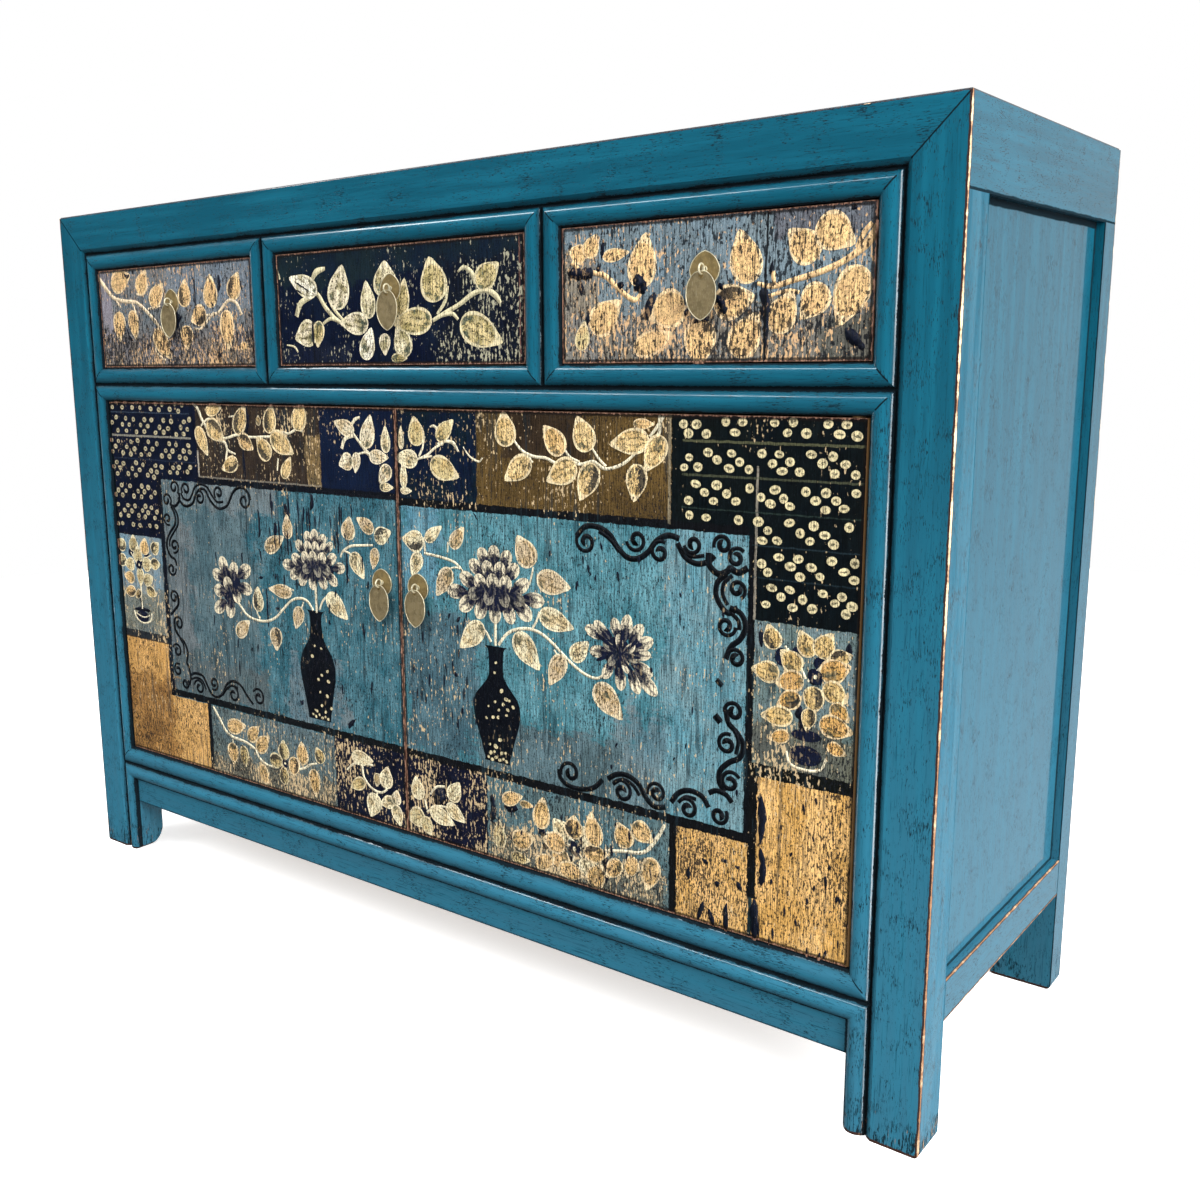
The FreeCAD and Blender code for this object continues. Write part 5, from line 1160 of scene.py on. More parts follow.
# strokes: lists of (x, z, width)
stems = {
    "door_left": [
        [(-345, 623, 3), (-335, 617, 4), (-328, 604, 4), (-320, 595, 3.5), (-316, 585, 3), (-300, 580, 3),
         (-286, 577, 3.4), (-281, 568, 3.4), (-267, 564, 2)],
        [(-300, 581, 3), (-280, 583, 3.2), (-262, 587, 3.4), (-240, 585, 3), (-215, 586, 3), (-200, 587, 3),
         (-180, 592, 3.2), (-170, 591, 3), (-156, 596, 3), (-146, 594, 2.4)],
        [(-330, 596, 2.6), (-318, 604, 2.6), (-306, 605, 2.2)], [(-282, 569, 3), (-286, 556, 3)],
        [(-190, 562, 2.6), (-193, 548, 2.4)], [(-276, 608, 2), (-266, 609, 2)],
        [(-66, 603, 3), (-61, 609, 4), (-53, 612, 2)], [(-64, 591, 3), (-77, 588, 4.4), (-83, 577, 4)],
        [(-64, 594, 3), (-52, 582, 3), (-43, 573, 3), (-36, 570, 3)],
        [(-53, 592, 2), (-49, 581, 2.6), (-40, 573, 2.6)], [(-57, 572, 2), (-46, 574, 2.6), (-38, 571, 2.6)],
        [(-136, 424, 3.2), (-136, 386, 3.4)],
        [(-142, 388, 3), (-150, 397, 3.2), (-162, 400, 3.4), (-178, 396, 3), (-195, 383, 3), (-208, 372, 3),
         (-225, 365, 3.4), (-245, 364, 3.2), (-262, 368, 3.2), (-275, 379, 3), (-284, 386, 2.6)],
        [(-131, 390, 2.4), (-124, 402, 2.6), (-112, 410, 2.6), (-100, 412, 2)],
        [(-238, 366, 2), (-243, 374, 2.4), (-238, 380, 2)],
        [(-92, 455, 2), (-88, 462, 2.6), (-75, 469, 2.8), (-60, 471, 2.8), (-40, 473, 2.4)],
        [(-88, 463, 2), (-78, 461, 2.4), (-70, 456, 2)], [(-174, 408, 2), (-186, 411, 2)],
        [(-158, 396, 2), (-162, 388, 2)],
        [(-341, 239, 3), (-329, 225, 4), (-319, 212, 4), (-305, 205, 4), (-280, 203, 3.6), (-262, 197, 3.6),
         (-254, 187, 3.4), (-240, 181, 3), (-222, 181, 2.4)],
        [(-192, 184, 3), (-172, 190, 3), (-160, 197, 3), (-148, 201, 2.4)], [(-304, 204, 2.4), (-305, 196, 2.4)],
        [(-96, 204, 2), (-85, 213, 3), (-72, 217, 3), (-52, 218, 2.4)],
        [(-70, 214, 2.6), (-68, 201, 3), (-56, 190, 3), (-41, 188, 3), (-31, 194, 2.4)],
        [(-45, 188, 2), (-50, 182, 2.4)], [(-480, 390, 3), (-480, 350, 2.6)],
        [(-499, 346, 2), (-494, 336, 2.6), (-480, 331, 2.6), (-464, 335, 2.6), (-460, 346, 2)],
        [(-494, 343, 1.8), (-478, 339, 1.8), (-464, 343, 1.8)], [(-497, 425, 2), (-486, 412, 2.4), (-481, 400, 2.4)],
        [(-452, 425, 2), (-466, 418, 2), (-478, 404, 2)],
    ],
    "door_right": [
        [(42, 594, 2), (38, 581, 2.6), (33, 573, 2.4)], [(50, 604, 1.6), (56, 605, 3), (62, 599, 2.4)],
        [(60, 587, 2), (72, 590, 3), (82, 588, 4), (88, 580, 2)],
        [(31, 570, 2.4), (45, 575, 2.8), (55, 582, 2.6), (68, 588, 2.4)], [(34, 571, 2), (52, 574, 2.4)],
        [(95, 585, 1.2), (103, 576, 1.8), (115, 571, 2), (120, 575, 1.6)],
        [(161, 594, 2), (171, 584, 3), (185, 579, 3), (200, 578, 3), (212, 574, 3), (228, 576, 3), (242, 574, 3),
         (256, 577, 3), (268, 571, 3), (281, 573, 3), (292, 578, 3), (302, 586, 2.4)], [(180, 578, 2), (184, 573, 2)],
        [(222, 588, 2), (229, 580, 2.6), (240, 576, 2.6)], [(255, 589, 2), (262, 580, 2.6), (270, 573, 3)],
        [(318, 602, 2.4), (325, 610, 3), (333, 621, 3)], [(328, 621, 3), (328, 606, 3.4), (322, 601, 2.6)],
        [(238, 573, 2), (248, 575, 2)], [(300, 576, 2), (311, 572, 2.6), (317, 579, 2)],
        [(133, 424, 3.4), (133, 384, 3.4)],
        [(137, 385, 3), (147, 397, 3.4), (160, 404, 3.6), (178, 407, 3.4), (195, 403, 3.2), (212, 392, 3.2),
         (228, 380, 3.2), (245, 371, 3), (260, 369, 2.8), (271, 377, 2.8), (278, 386, 2.4)],
        [(127, 387, 3), (120, 397, 3), (108, 404, 3), (96, 401, 2.2)],
        [(37, 471, 3), (60, 469, 2.8), (80, 465, 2.8), (92, 455, 2.8), (97, 447, 2)], [(37, 488, 2), (38, 473, 3)],
        [(180, 406, 2), (187, 417, 2.4), (190, 426, 2)], [(178, 452, 1.8), (181, 461, 2), (183, 470, 1.8)],
        [(208, 390, 1.8), (213, 384, 1.8)], [(72, 458, 1.6), (82, 460, 2), (90, 458, 1.6)],
        [(70, 475, 1.8), (71, 486, 1.8)], [(36, 203, 2), (45, 213, 3), (58, 216, 3)],
        [(30, 181, 2), (43, 190, 3), (58, 193, 2.4)], [(27, 195, 2), (30, 184, 2.4)],
        [(268, 195, 3), (290, 200, 3.4), (314, 205, 3.6), (329, 223, 4), (337, 238, 3)],
        [(196, 196, 2.4), (213, 200, 2.4), (232, 196, 2)], [(232, 186, 3), (222, 192, 1.6)],
        [(232, 186, 3), (243, 193, 1.6)], [(232, 186, 3), (230, 175, 1.6)], [(232, 186, 3), (243, 180, 1.6)],
        [(460, 335, 2), (464, 324, 2.4), (478, 321, 2.6), (492, 324, 2.4), (497, 335, 2)],
        [(456, 428, 2), (468, 416, 2.4), (476, 402, 2.2)], [(500, 426, 2), (488, 412, 2.4), (478, 400, 2)],
    ],
    "drawer_left": [
        [(-528, 783, 7), (-513, 770, 6), (-495, 755, 5), (-470, 749, 5), (-446, 747, 4.6), (-425, 735, 4.6),
         (-408, 722, 5), (-392, 708, 3)], [(-422, 738, 3), (-408, 739, 3), (-396, 741, 2)],
        [(-488, 750, 3), (-480, 742, 3)], [(-455, 747, 3), (-450, 738, 3), (-444, 726, 2.4)],
        [(-306, 727, 3), (-285, 729, 4), (-272, 738, 4), (-262, 743, 4), (-250, 739, 4), (-241, 726, 3)],
        [(-332, 712, 3), (-318, 712, 3), (-303, 722, 3), (-292, 730, 3)],
        [(-412, 700, 2), (-410, 685, 3), (-392, 675, 3)], [(-388, 760, 3), (-392, 752, 3)],
        [(-444, 757, 2.4), (-430, 756, 3), (-418, 768, 2.4)],
    ],
    "drawer_middle": [
        [(-120, 758, 4), (-112, 767, 7), (-98, 770, 4)], [(-122, 741, 5), (-139, 735, 7), (-147, 721, 6)],
        [(-126, 744, 6), (-112, 744, 5), (-100, 730, 5), (-85, 717, 4.6), (-68, 709, 4)],
        [(-94, 742, 3), (-88, 729, 4), (-74, 716, 3.4)], [(-104, 712, 3), (-91, 717, 4), (-74, 712, 4)],
        [(4, 709, 3), (16, 709, 4)],
        [(58, 711, 4), (75, 718, 4.6), (95, 726, 4.6), (112, 735, 5), (128, 738, 5), (140, 733, 6), (147, 725, 4)],
        [(93, 757, 2), (101, 761, 4), (111, 755, 5), (116, 745, 5)], [(79, 744, 3), (75, 729, 4), (64, 717, 3)],
        [(70, 715, 3), (84, 717, 4), (92, 711, 3)], [(-165, 690, 1.6), (-153, 688, 2.4), (-147, 682, 2)],
        [(-177, 778, 1.4), (-172, 762, 2.4)],
    ],
    "drawer_right": [
        [(527, 772, 8), (516, 757, 7), (500, 746, 5), (480, 738, 5), (455, 732, 4.6), (436, 728, 4.6), (422, 731, 3)],
        [(232, 758, 4), (240, 752, 4)],
        [(256, 748, 4), (270, 744, 5), (282, 734, 4.6), (300, 722, 4.6), (308, 728, 3)],
        [(438, 727, 3), (436, 740, 4)], [(520, 772, 4), (514, 766, 4), (508, 754, 4)],
        [(348, 700, 3), (330, 697, 3), (320, 690, 3)], [(432, 720, 3), (450, 724, 3), (460, 722, 3)],
        [(310, 772, 3), (317, 778, 2)],
    ],
}
marks = {
    "door_left": [
        [(-182, 510, 4), (-181, 497, 8), (-178, 486, 5)], [(-206, 513, 3), (-205, 500, 4)],
        [(-204, 486, 3), (-200, 474, 4)], [(-137, 524, 6), (-135, 514, 7), (-139, 505, 2)],
        [(-145, 507, 2), (-146, 494, 3)], [(-232, 500, 2), (-230, 480, 4), (-232, 466, 2)],
        [(-98, 484, 2), (-95, 472, 3), (-96, 458, 2)], [(-232, 452, 3), (-229, 438, 3)],
        [(-236, 417, 3), (-229, 418, 4)], [(-224, 406, 3), (-223, 385, 3), (-224, 356, 2)],
        [(-282, 308, 3), (-283, 288, 3)], [(-282, 336, 2), (-283, 324, 2)], [(-200, 340, 2), (-200, 322, 2)],
        [(-172, 274, 5), (-167, 271, 6)], [(-90, 256, 4), (-86, 261, 6), (-78, 268, 2)],
        [(-72, 516, 2), (-71, 502, 2.4)], [(-196, 448, 2), (-197, 436, 2.4)], [(-115, 380, 3), (-114, 374, 3)],
        [(-82, 462, 2), (-82, 440, 3), (-83, 424, 2)], [(-205, 425, 3), (-206, 418, 4)],
        [(-209, 383, 3), (-201, 383, 4)], [(-165, 417, 4), (-158, 416, 4)],
        [(-498, 348, 3), (-480, 350, 6), (-462, 349, 3)], [(-480, 402, 12), (-479, 410, 14), (-477, 404, 10)],
        [(-482, 372, 5), (-480, 350, 5)], [(-244, 624, 6), (-243, 606, 8), (-245, 588, 5)],
        [(-253, 590, 3), (-252, 548, 4), (-253, 534, 4)], [(-192, 620, 4), (-188, 610, 12), (-186, 602, 5)],
    ],
    "door_right": [
        [(24, 487, 8), (29, 482, 12), (33, 476, 6)], [(80, 402, 4), (86, 408, 6)], [(75, 347, 4), (80, 343, 5)],
        [(86, 310, 3), (86, 303, 5)], [(264, 502, 2), (265, 494, 3)], [(106, 519, 2), (112, 512, 2)],
        [(252, 472, 2), (252, 468, 3)], [(258, 470, 2), (257, 464, 3)],
        [(140, 212, 6), (150, 214, 12), (160, 213, 5)], [(124, 222, 4), (126, 205, 8), (124, 192, 5)],
        [(190, 207, 9), (190, 198, 10), (197, 187, 7), (193, 178, 5)], [(267, 192, 7), (270, 178, 7), (270, 160, 3)],
        [(118, 195, 3), (150, 178, 2)], [(222, 202, 4), (232, 201, 9), (241, 200, 4)], [(222, 178, 4), (231, 176, 7)],
        [(246, 192, 6), (249, 180, 7)], [(40, 205, 16), (50, 203, 22), (56, 200, 10)], [(380, 173, 5), (374, 153, 6)],
        [(386, 167, 6), (391, 151, 7)], [(404, 178, 7), (404, 149, 8)], [(394, 197, 6), (394, 191, 6)],
        [(415, 202, 5), (418, 194, 8)], [(364, 204, 3), (364, 190, 4)], [(378, 215, 5), (384, 211, 6)],
        [(398, 219, 4), (404, 218, 5)], [(412, 217, 3), (418, 214, 4)], [(436, 290, 5), (438, 268, 8), (437, 246, 4)],
        [(438, 240, 4), (440, 222, 7), (439, 204, 4)], [(432, 190, 5), (433, 170, 8), (433, 148, 6)],
        [(478, 404, 10), (485, 405, 15), (492, 405, 10)], [(485, 412, 8), (485, 398, 8)],
        [(514, 438, 5), (514, 424, 6)], [(433, 440, 5), (434, 424, 6)], [(470, 378, 8), (474, 366, 9), (478, 352, 8)],
        [(300, 573, 3), (305, 570, 8), (312, 573, 4)],
    ],
    "drawer_left": [
        [(-363, 733, 5), (-364, 722, 9), (-366, 714, 6)], [(-363, 722, 4), (-355, 727, 5)],
        [(-468, 783, 2), (-462, 779, 5), (-456, 781, 3)], [(-450, 787, 3), (-448, 781, 3)],
        [(-281, 772, 4), (-279, 763, 6), (-282, 752, 3)], [(-286, 688, 6), (-285, 680, 8), (-287, 673, 7)],
        [(-297, 742, 2), (-292, 737, 3)], [(-242, 766, 3), (-238, 752, 2)],
        [(-328, 772, 2.4), (-326, 750, 2), (-327, 728, 2.4)], [(-470, 716, 2), (-466, 706, 3), (-458, 700, 4)],
        [(-383, 690, 3), (-378, 684, 3)], [(-252, 708, 2), (-251, 690, 3)], [(-232, 712, 2), (-231, 690, 3)],
    ],
    "drawer_middle": [
        [(-121, 716, 2.6), (-121, 688, 2.6)], [(-146, 758, 1.6), (-134, 752, 1.8), (-124, 747, 1.4)],
        [(-148, 751, 1.4), (-136, 745, 1.6)],
    ],
    "drawer_right": [
        [(229, 750, 6), (241, 747, 13), (256, 748, 11)], [(242, 742, 5), (243, 728, 5)],
        [(268, 776, 4), (266, 760, 6)], [(262, 755, 4), (262, 748, 4)],
        [(303, 744, 8), (307, 735, 13), (311, 727, 5)], [(283, 737, 3), (286, 735, 6), (289, 738, 3)],
        [(322, 728, 3), (317, 716, 8), (313, 704, 5)], [(382, 722, 5), (389, 717, 8), (392, 707, 6)],
        [(386, 733, 4), (390, 727, 6)], [(428, 727, 8), (430, 712, 9), (431, 694, 5), (431, 674, 3)],
        [(352, 710, 6), (357, 709, 6)], [(250, 712, 4), (250, 702, 5)], [(436, 748, 3), (434, 738, 4)],
        [(501, 693, 8), (510, 683, 8), (517, 677, 5)], [(360, 700, 2), (369, 704, 6), (377, 702, 2)],
        [(502, 787, 4), (507, 783, 4)],
    ],
}
scrolls = {  # lines: (width, (x, z), ...), curls: the values of spiral()
    "door_left": {
        "widen": 1.25,
        "lines": [
            (3.4, (-384, 511), (-383, 503), (-390, 495), (-399, 493), (-404, 497)),
            (3.0, (-386, 505), (-378, 497), (-368, 495), (-356, 500), (-349, 511), (-340, 518), (-330, 517),
             (-322, 506), (-312, 498), (-302, 496), (-290, 500), (-283, 508), (-277, 517)),
            (2.6, (-380, 511), (-374, 504), (-364, 503), (-357, 510), (-350, 520), (-338, 524), (-326, 521),
             (-317, 511), (-308, 504), (-296, 505)),
            (3.2, (-277, 517), (-268, 523), (-256, 524), (-247, 517), (-244, 510)),
            (3.0, (-402, 492), (-395, 482), (-396, 470), (-407, 459), (-415, 448), (-416, 438), (-410, 428),
             (-401, 424), (-398, 416)),
            (2.6, (-399, 494), (-390, 483), (-390, 470), (-399, 460), (-409, 449), (-410, 440)),
            (3.2, (-401, 378), (-400, 366), (-410, 356), (-418, 350)),
            (3.0, (-411, 345), (-410, 330), (-402, 322), (-392, 315), (-387, 303), (-390, 289), (-384, 283)),
            (2.4, (-408, 330), (-402, 321), (-395, 312), (-395, 300)),
            (3.0, (-384, 274), (-372, 278), (-358, 276), (-350, 265), (-342, 255), (-330, 253), (-319, 260),
             (-311, 272), (-298, 279), (-283, 276), (-271, 264), (-260, 255)),
            (2.4, (-384, 268), (-372, 272), (-360, 270), (-353, 259)),
            (2.6, (-320, 257), (-312, 266), (-300, 273), (-288, 271)), (2.8, (-386, 283), (-384, 270), (-388, 260)),
        ],
        "curls": [
            (-393, 517, 9.5, -50, 1.35), (-410, 500, 9.5, -40, 1.35), (-369, 516, 9, 215, -1.2),
            (-342, 507, 9, 100, -1.3), (-304, 515, 9, 225, -1.2), (-256, 509, 10.5, 40, -1.3),
            (-411, 476, 8.5, -60, -1.3), (-400, 442, 9.5, 250, 1.4), (-409, 411, 9, 10, -1.35),
            (-408, 374, 9.5, -20, 1.4), (-402, 340, 10, 190, -1.4), (-409, 303, 9.5, 160, -1.4),
            (-410, 277, 9, 60, 1.4), (-396, 261, 7.5, 40, -1.3), (-367, 260, 10.5, 170, -1.4),
            (-336, 270, 9, -120, 1.4), (-298, 262, 12, 160, -1.5), (-249, 266, 11.5, 150, -1.5),
        ],
    },
    "door_right": {
        "widen": 1.38,
        "lines": [
            (4.1, (236, 505), (246, 515), (260, 516), (274, 510), (284, 498), (294, 490), (306, 490), (317, 497),
             (326, 508), (338, 514), (350, 512)), (2.9, (262, 512), (275, 505), (285, 494)),
            (3.9, (348, 508), (356, 496), (368, 491), (380, 494), (386, 500)),
            (2.7, (352, 503), (362, 497), (376, 499)),
            (4.4, (380, 502), (381, 491), (390, 484), (399, 487), (402, 490), (410, 487), (419, 492)),
            (3.9, (399, 485), (390, 477), (388, 466), (393, 456), (401, 450), (410, 456)),
            (2.9, (404, 484), (396, 476), (395, 466), (400, 457)),
            (3.9, (402, 455), (413, 451), (418, 440), (413, 428), (404, 420), (399, 408)),
            (2.9, (404, 450), (411, 444), (412, 436)),
            (3.9, (400, 362), (403, 350), (412, 342), (418, 332), (415, 320), (404, 313), (395, 303), (395, 292),
             (401, 285)), (2.7, (408, 345), (413, 335), (411, 322)), (3.7, (390, 388), (396, 383)),
            (4.9, (389, 355), (395, 349)), (3.9, (344, 262), (352, 273), (364, 278), (377, 275), (384, 266)),
            (2.7, (352, 264), (360, 271), (371, 271)),
            (3.9, (272, 270), (283, 277), (296, 278), (308, 272), (315, 262), (325, 254), (338, 256)),
            (2.9, (278, 266), (289, 273), (301, 270), (309, 261)),
            (3.7, (213, 268), (215, 259), (225, 253), (242, 253), (256, 258), (266, 268)),
            (3.7, (384, 280), (392, 284), (402, 282), (408, 276)),
        ],
        "curls": [
            (247, 501, 11.5, 150, 1.35, 4.2, 4.4), (304, 507, 11, 190, 1.35, 4.2, 5.0),
            (330, 498, 10.5, 60, 1.4, 4.2, 4.8), (364, 508, 9, 190, 1.3, 4.2, 4.4),
            (394, 510, 9, 200, -1.4, 4.2, 4.4), (408, 500, 9, 40, 1.35, 4.2, 4.4),
            (409, 472, 8.5, -60, 1.4, 4.2, 4.4), (399, 438, 9.5, 0, -1.4, 4.0, 4.8),
            (409, 410, 9, 170, -1.4, 4.2, 4.4), (408, 361, 9.5, 190, -1.35, 4.2, 4.8),
            (402, 330, 10, 70, 1.4, 4.2, 5.0), (406, 295, 10.5, 30, 1.45, 4.2, 4.4),
            (395, 261, 9, 40, -1.4, 4.2, 4.4), (362, 260, 10.5, 160, -1.45, 4.2, 4.4),
            (328, 268, 10.5, 200, -1.6, 4.0, 4.0), (289, 261, 12, 150, -1.5, 4.2, 4.8),
            (227, 267, 12, -160, -1.3, 4.2, 4.4),
        ],
    },
}
tendrils = [
    (-512, 262, 8, 90, 1.3, 1.5, 1.0), (-514, 240, 8, 270, -1.3, 1.5, 1.0), (-512, 218, 9, 90, 1.3, 1.6, 1.0),
    (-513, 196, 8, 270, -1.3, 1.6, 1.0), (-508, 174, 9, 60, 1.3, 1.6, 1.0), (-486, 170, 9, 200, -1.3, 1.6, 1.0),
    (-464, 172, 8, 20, 1.3, 1.5, 1.0), (-442, 166, 8, 200, -1.3, 1.5, 1.0),
]
vases = {  # outline: (z, half width) from the neck down, specks: (x, z, size)
    "door_left": {
        "middle": -138.5,
        "outline": [
            (388, 15), (385, 11), (380, 9.5), (368, 9.8), (358, 11.5), (350, 15), (341, 22), (331, 27.5), (320, 30),
            (309, 29.5), (296, 26.5), (283, 23.5), (270, 21), (262, 19), (257, 19),
        ],
        "specks": [
            (-147, 333, 6), (-142, 346, 4), (-131, 344, 4), (-132, 312, 5), (-122, 318, 5), (-121, 306, 6),
            (-138, 306, 5), (-124, 288, 6), (-134, 275, 5), (-143, 267, 5), (-118, 274, 5), (-128, 268, 5),
            (-136, 291, 4), (-150, 262, 4), (-145, 260, 5), (-139, 263, 4), (-134, 260, 5), (-129, 262, 4),
            (-124, 260, 5), (-146, 268, 3),
        ],
    },
    "door_right": {
        "middle": 133.0,
        "outline": [
            (383, 15), (380, 11), (374, 9.8), (362, 9.2), (352, 10), (345, 14), (337, 21), (329, 28), (319, 31),
            (308, 30.5), (295, 27), (282, 22.5), (270, 19), (262, 16.5), (259, 17.5),
        ],
        "specks": [
            (140, 337, 6), (146, 329, 6), (142, 323, 5), (131, 324, 4), (155, 322, 5), (148, 318, 5), (128, 307, 5),
            (135, 308, 5), (119, 305, 4), (131, 355, 4), (133, 366, 4), (131, 276, 7), (124, 268, 6), (137, 284, 6),
            (121, 263, 4), (126, 261, 5), (131, 264, 5), (136, 262, 5), (141, 264, 4), (145, 262, 5), (139, 270, 5),
            (129, 270, 4), (144, 271, 4), (123, 277, 4), (146, 312, 4), (150, 328, 4), (136, 316, 4), (122, 318, 3),
        ],
    },
}
vasePlan = {"lift": 0.2, "tone": "060a12", "speck": 0.7, "turn": (-40, 60)}


def paintVase(owner, plan):
    board, name, middle = boards[owner], owner + "_vase", plan["middle"]
    outline = smoothPath([(half, z, 0) for z, half in plan["outline"]], 5)
    rim = [(middle - half, z) for half, z, _ in reversed(outline)] + [(middle + half, z) for half, z, _ in outline]
    front = [(px * mm, board["face"] - vasePlan["lift"] * mm, pz * mm) for px, pz in rim]
    rear = [(px * mm, board["face"] + paintPlan["sunk"], pz * mm) for px, pz in rim]
    order = list(reversed(range(len(rim))))   # the rim runs clockwise when seen from the front
    faces = [tuple(order), tuple(i + len(rim) for i in reversed(order))]
    for a, b in zip(order, order[1:] + order[:1]):
        faces.append((a, a + len(rim), b + len(rim), b))
    mesh = bpy.data.meshes.new(name)
    mesh.from_pydata(front + rear, [], faces)
    setAttribute(mesh, "painted", "FLOAT", [1.0] * len(mesh.vertices))
    setAttribute(mesh, "tint", "FLOAT_COLOR", [paint(vasePlan["tone"])] * len(mesh.vertices))
    mesh.materials.append(board["look"])
    placed(name, mesh, owner)


runPlan = {
    "length": (0.3, 1.0), "width": (1.2, 2.8), "lean": (-1.5, 1.5),
    "areas": {  # (left, right, lowest top, highest top, count, longest)
        "door_left": [(-212, -84, 470, 522, 34, 36), (-330, -20, 300, 500, 26, 16)],
        "door_right": [(8, 110, 290, 420, 26, 16), (190, 420, 262, 500, 20, 10), (430, 520, 150, 300, 26, 12),
                       (120, 340, 160, 235, 22, 12)],
    },
}


def runs(chance, left, right, low, high, count, longest):  # upright runs of dark paint
    out = []
    for _ in range(count):
        px, top = chance.uniform(left, right), chance.uniform(low, high)
        long, width = chance.uniform(*runPlan["length"]) * longest, chance.uniform(*runPlan["width"])
        lean = chance.uniform(*runPlan["lean"])
        out.append([(px, top, width * 0.4), (px + lean * 0.4, top - long * 0.3, width),
                    (px + lean, top - long * 0.7, width * 0.8), (px + lean * 1.2, top - long, 0.3)])
    return out


drips, dice = random.Random(11), random.Random(7)
darkRuns = {owner: [run for area in areas for run in runs(drips, *area)] for owner, areas in runPlan["areas"].items()}
doorPaint = {  # strokes: (height, tone), shapes: (height, step, form, kind, tone)
    "scrolls": (0.1, "06090e"), "marks": (0.16, "0d1220"), "stems": (0.22, "d9cfb2"), "curls": (0.1, "5f4322"),
    "dots": (0.14, 0.0, "dot", "eye"), "vaseSpecks": (0.26, 0.001, "dot", "plain", "bone"),
    "leaves": (0.3, 0.002, "leaf", "leaf", "tan"), "hearts": (0.3, 0.002, "dot", "plain", "ink"),
    "petals": (0.34, 0.003, "petal", "petal", "pearl"), "eyes": (0.5, 0.004, "dot", "plain", "ink"),
}
dotPlan = {  # millimetres and tone for each door, and how far single dots go from them
    "left": {"long": 8.8, "high": 6.4, "tone": "dull"}, "right": {"long": 11.0, "high": 7.8, "tone": "bone"},
    "long": (0.82, 1.1), "high": (0.85, 1.12), "turn": (-16, 16),
}
for side in sides:
    owner, plan, vase = "door_" + side, dotPlan[side], vases["door_" + side]
    rows = [(x, z, plan["long"] * dice.uniform(*dotPlan["long"]), plan["high"] * dice.uniform(*dotPlan["high"]),
             dice.uniform(*dotPlan["turn"])) for x, z in dots[owner]]
    paintShapes(owner, "dots", rows, *doorPaint["dots"], plan["tone"])
    scroll = scrolls[owner]
    lines = [smoothPath([(x, z, width * scroll["widen"]) for x, z in line], 8) for width, *line in scroll["lines"]]
    paintStrokes(owner, "scrolls", lines + [spiral(*curl) for curl in scroll["curls"]], *doorPaint["scrolls"])
    worn = [roughened(smoothPath(path, 5), dice) for path in marks[owner]]
    paintStrokes(owner, "marks", worn + darkRuns[owner], *doorPaint["marks"])
    paintStrokes(owner, "stems", [smoothPath(path, 6) for path in stems[owner]], *doorPaint["stems"])
    paintVase(owner, vase)
    for label, table in (("leaves", leaves), ("hearts", hearts), ("petals", petals), ("eyes", eyes)):
        paintShapes(owner, label, table[owner], *doorPaint[label])
    specks = [(x, z, size, size * vasePlan["speck"], dice.uniform(*vasePlan["turn"]))
              for x, z, size in vase["specks"]]
    paintShapes(owner, "vaseSpecks", specks, *doorPaint["vaseSpecks"])
    if side == "left":
        paintStrokes(owner, "curls", [spiral(*curl) for curl in tendrils], *doorPaint["curls"])
    print("painted the", side, "door")
drawerPaint = {
    "leaves": (0.26, 0.003, "leaf", "leaf", "tan"), "marks": (0.34, "0d1220"),
    "stems": {"left": (0.2, "d8c4a4"), "middle": (0.2, "c4bb98"), "right": (0.2, "ddb988")},
}
for which in drawers:
    owner = "drawer_" + which
    paintStrokes(owner, "stems", [smoothPath(path, 6) for path in stems[owner]], *drawerPaint["stems"][which])
    paintShapes(owner, "leaves", leaves[owner], *drawerPaint["leaves"])
    worn = [roughened(smoothPath(path, 5), dice) for path in marks[owner]]
    paintStrokes(owner, "marks", worn, *drawerPaint["marks"])
    print("painted the", which, "drawer")


# the brass pulls: a wire eye with its clenched legs, and pale beaded rims round plate and leaf, partly a rim and
# partly a painted highlight along their edges

wirePlan = {
    "eye": 4.3, "wire": 0.85, "eyeFront": 0.9, "leg": 0.6, "gap": 0.62, "bend": (2.0, 0.4), "turned": 3.0,
    "spread": 9.0, "collar": 2.1, "rim": 0.42, "turns": 28, "corners": 12,
}


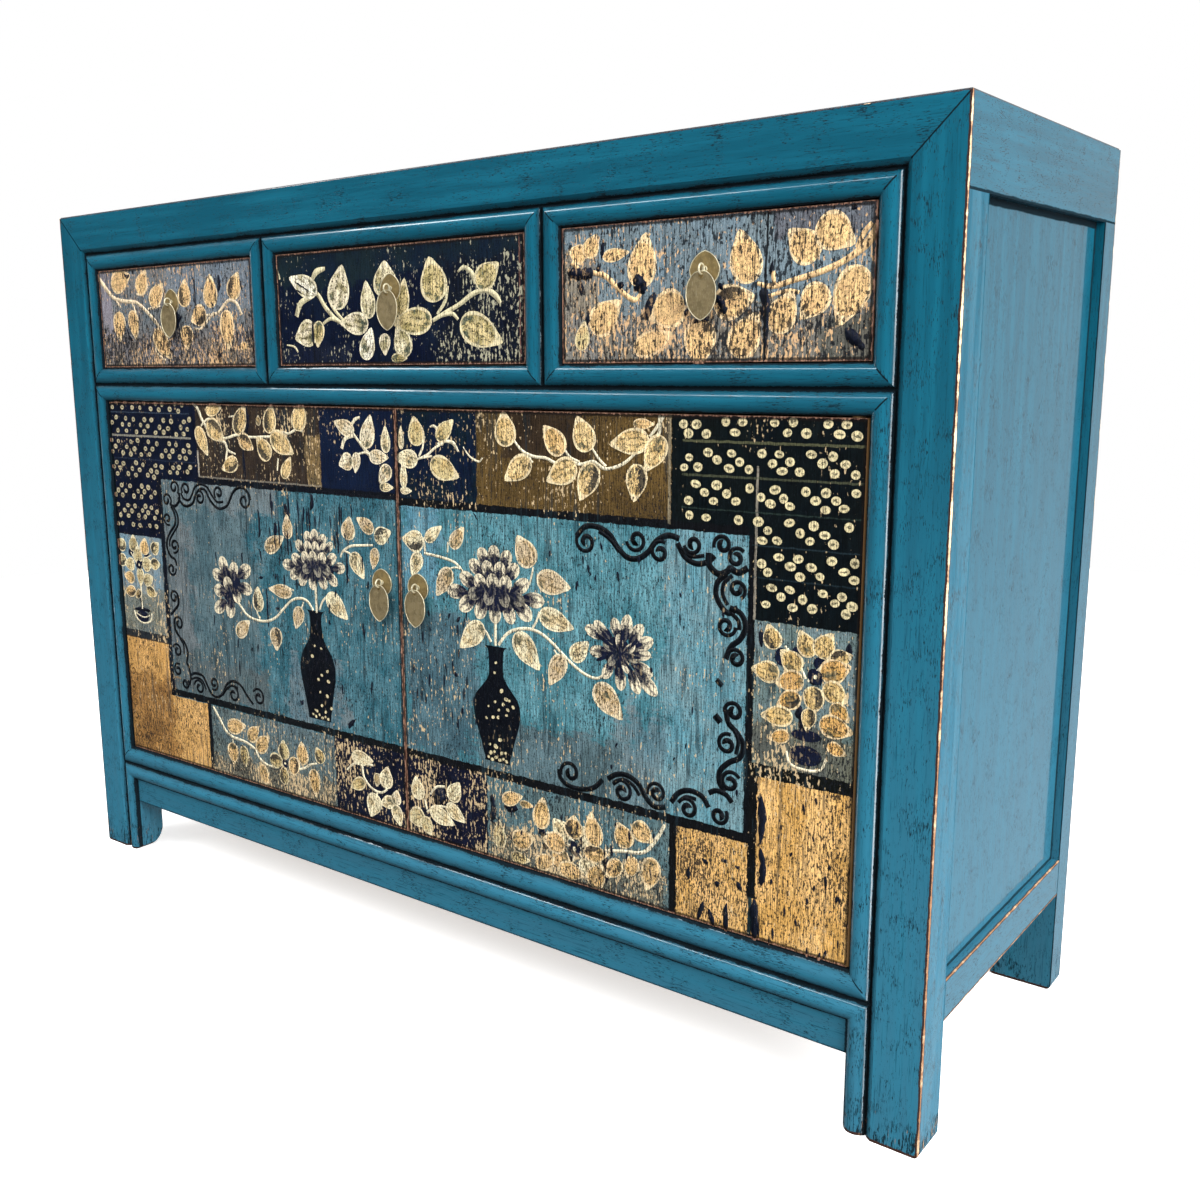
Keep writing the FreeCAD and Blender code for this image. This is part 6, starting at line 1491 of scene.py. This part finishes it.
def frontOutline(node):  # the longest loop round the flat front of a CAD node, in millimetres
    mesh = nodes[node].data
    spot = {v.index: tuple(round(c / mm, 4) for c in v.co) for v in mesh.vertices}
    uses = {}
    for polygon in mesh.polygons:
        if polygon.normal.y < -0.9:
            ring = [spot[i] for i in polygon.vertices]
            for pair in map(frozenset, zip(ring, ring[1:] + ring[:1])):
                uses[pair] = uses.get(pair, 0) + 1
    nextTo = {}
    for a, b in sorted(sorted(pair) for pair, count in uses.items() if count == 1 and len(pair) == 2):
        nextTo.setdefault(a, []).append(b)
        nextTo.setdefault(b, []).append(a)
    loops, left = [], set(nextTo)
    while left:
        here, loop = min(left), []
        while here is not None:
            loop.append(here)
            left.discard(here)
            here = next((p for p in nextTo[here] if p in left), None)
        loops.append(loop)
    return max(loops, key=len)


def bendWire(name, owner, paths):
    values = {"Paint": brass["pin"], "Corners": wirePlan["corners"]}
    return settle(makeCurve(name, paths), wires, values, name, owner)


for owner in pulls:
    plan = wirePlan
    low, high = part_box(owner + "_pin")
    cx, cz = (low.x + high.x) / 2 / mm, (low.z + high.z) / 2 / mm
    eyeY, rear = low.y / mm + plan["eye"] + plan["eyeFront"], high.y / mm - plan["leg"]
    turns = [i * 2 * math.pi / plan["turns"] for i in range(plan["turns"])]
    eye, collar = ([(radius * math.cos(t), radius * math.sin(t)) for t in turns]
                   for radius in (plan["eye"], plan["collar"]))
    paths = [(True, [(cx, eyeY + a, cz + b, plan["wire"]) for a, b in eye])]
    for way in (-1, 1):
        steps = [(eyeY + plan["eye"], plan["gap"]), (rear - plan["bend"][0], plan["gap"]),
                 (rear - plan["bend"][1], plan["gap"] * 2), (rear, plan["turned"]), (rear, plan["spread"])]
        paths.append((False, [(cx, py, cz + way * out, plan["leg"]) for py, out in steps]))
    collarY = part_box(owner + "_plate")[0].y / mm
    paths.append((True, [(cx + a, collarY, cz + b, plan["leg"]) for a, b in collar]))
    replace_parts(bendWire(owner + "_eye", owner, paths), owner + "_pin")
    for part, body in (("_plate", owner), ("_leaf", owner + "_pull")):
        # the pale rims: partly a beaded rim, partly a painted highlight along the edges
        outline = [(x, y, z, plan["rim"]) for x, y, z in frontOutline(owner + part)]
        bendWire(owner + part + "Rim", body, [(True, outline)])
print("the pulls have their wire")
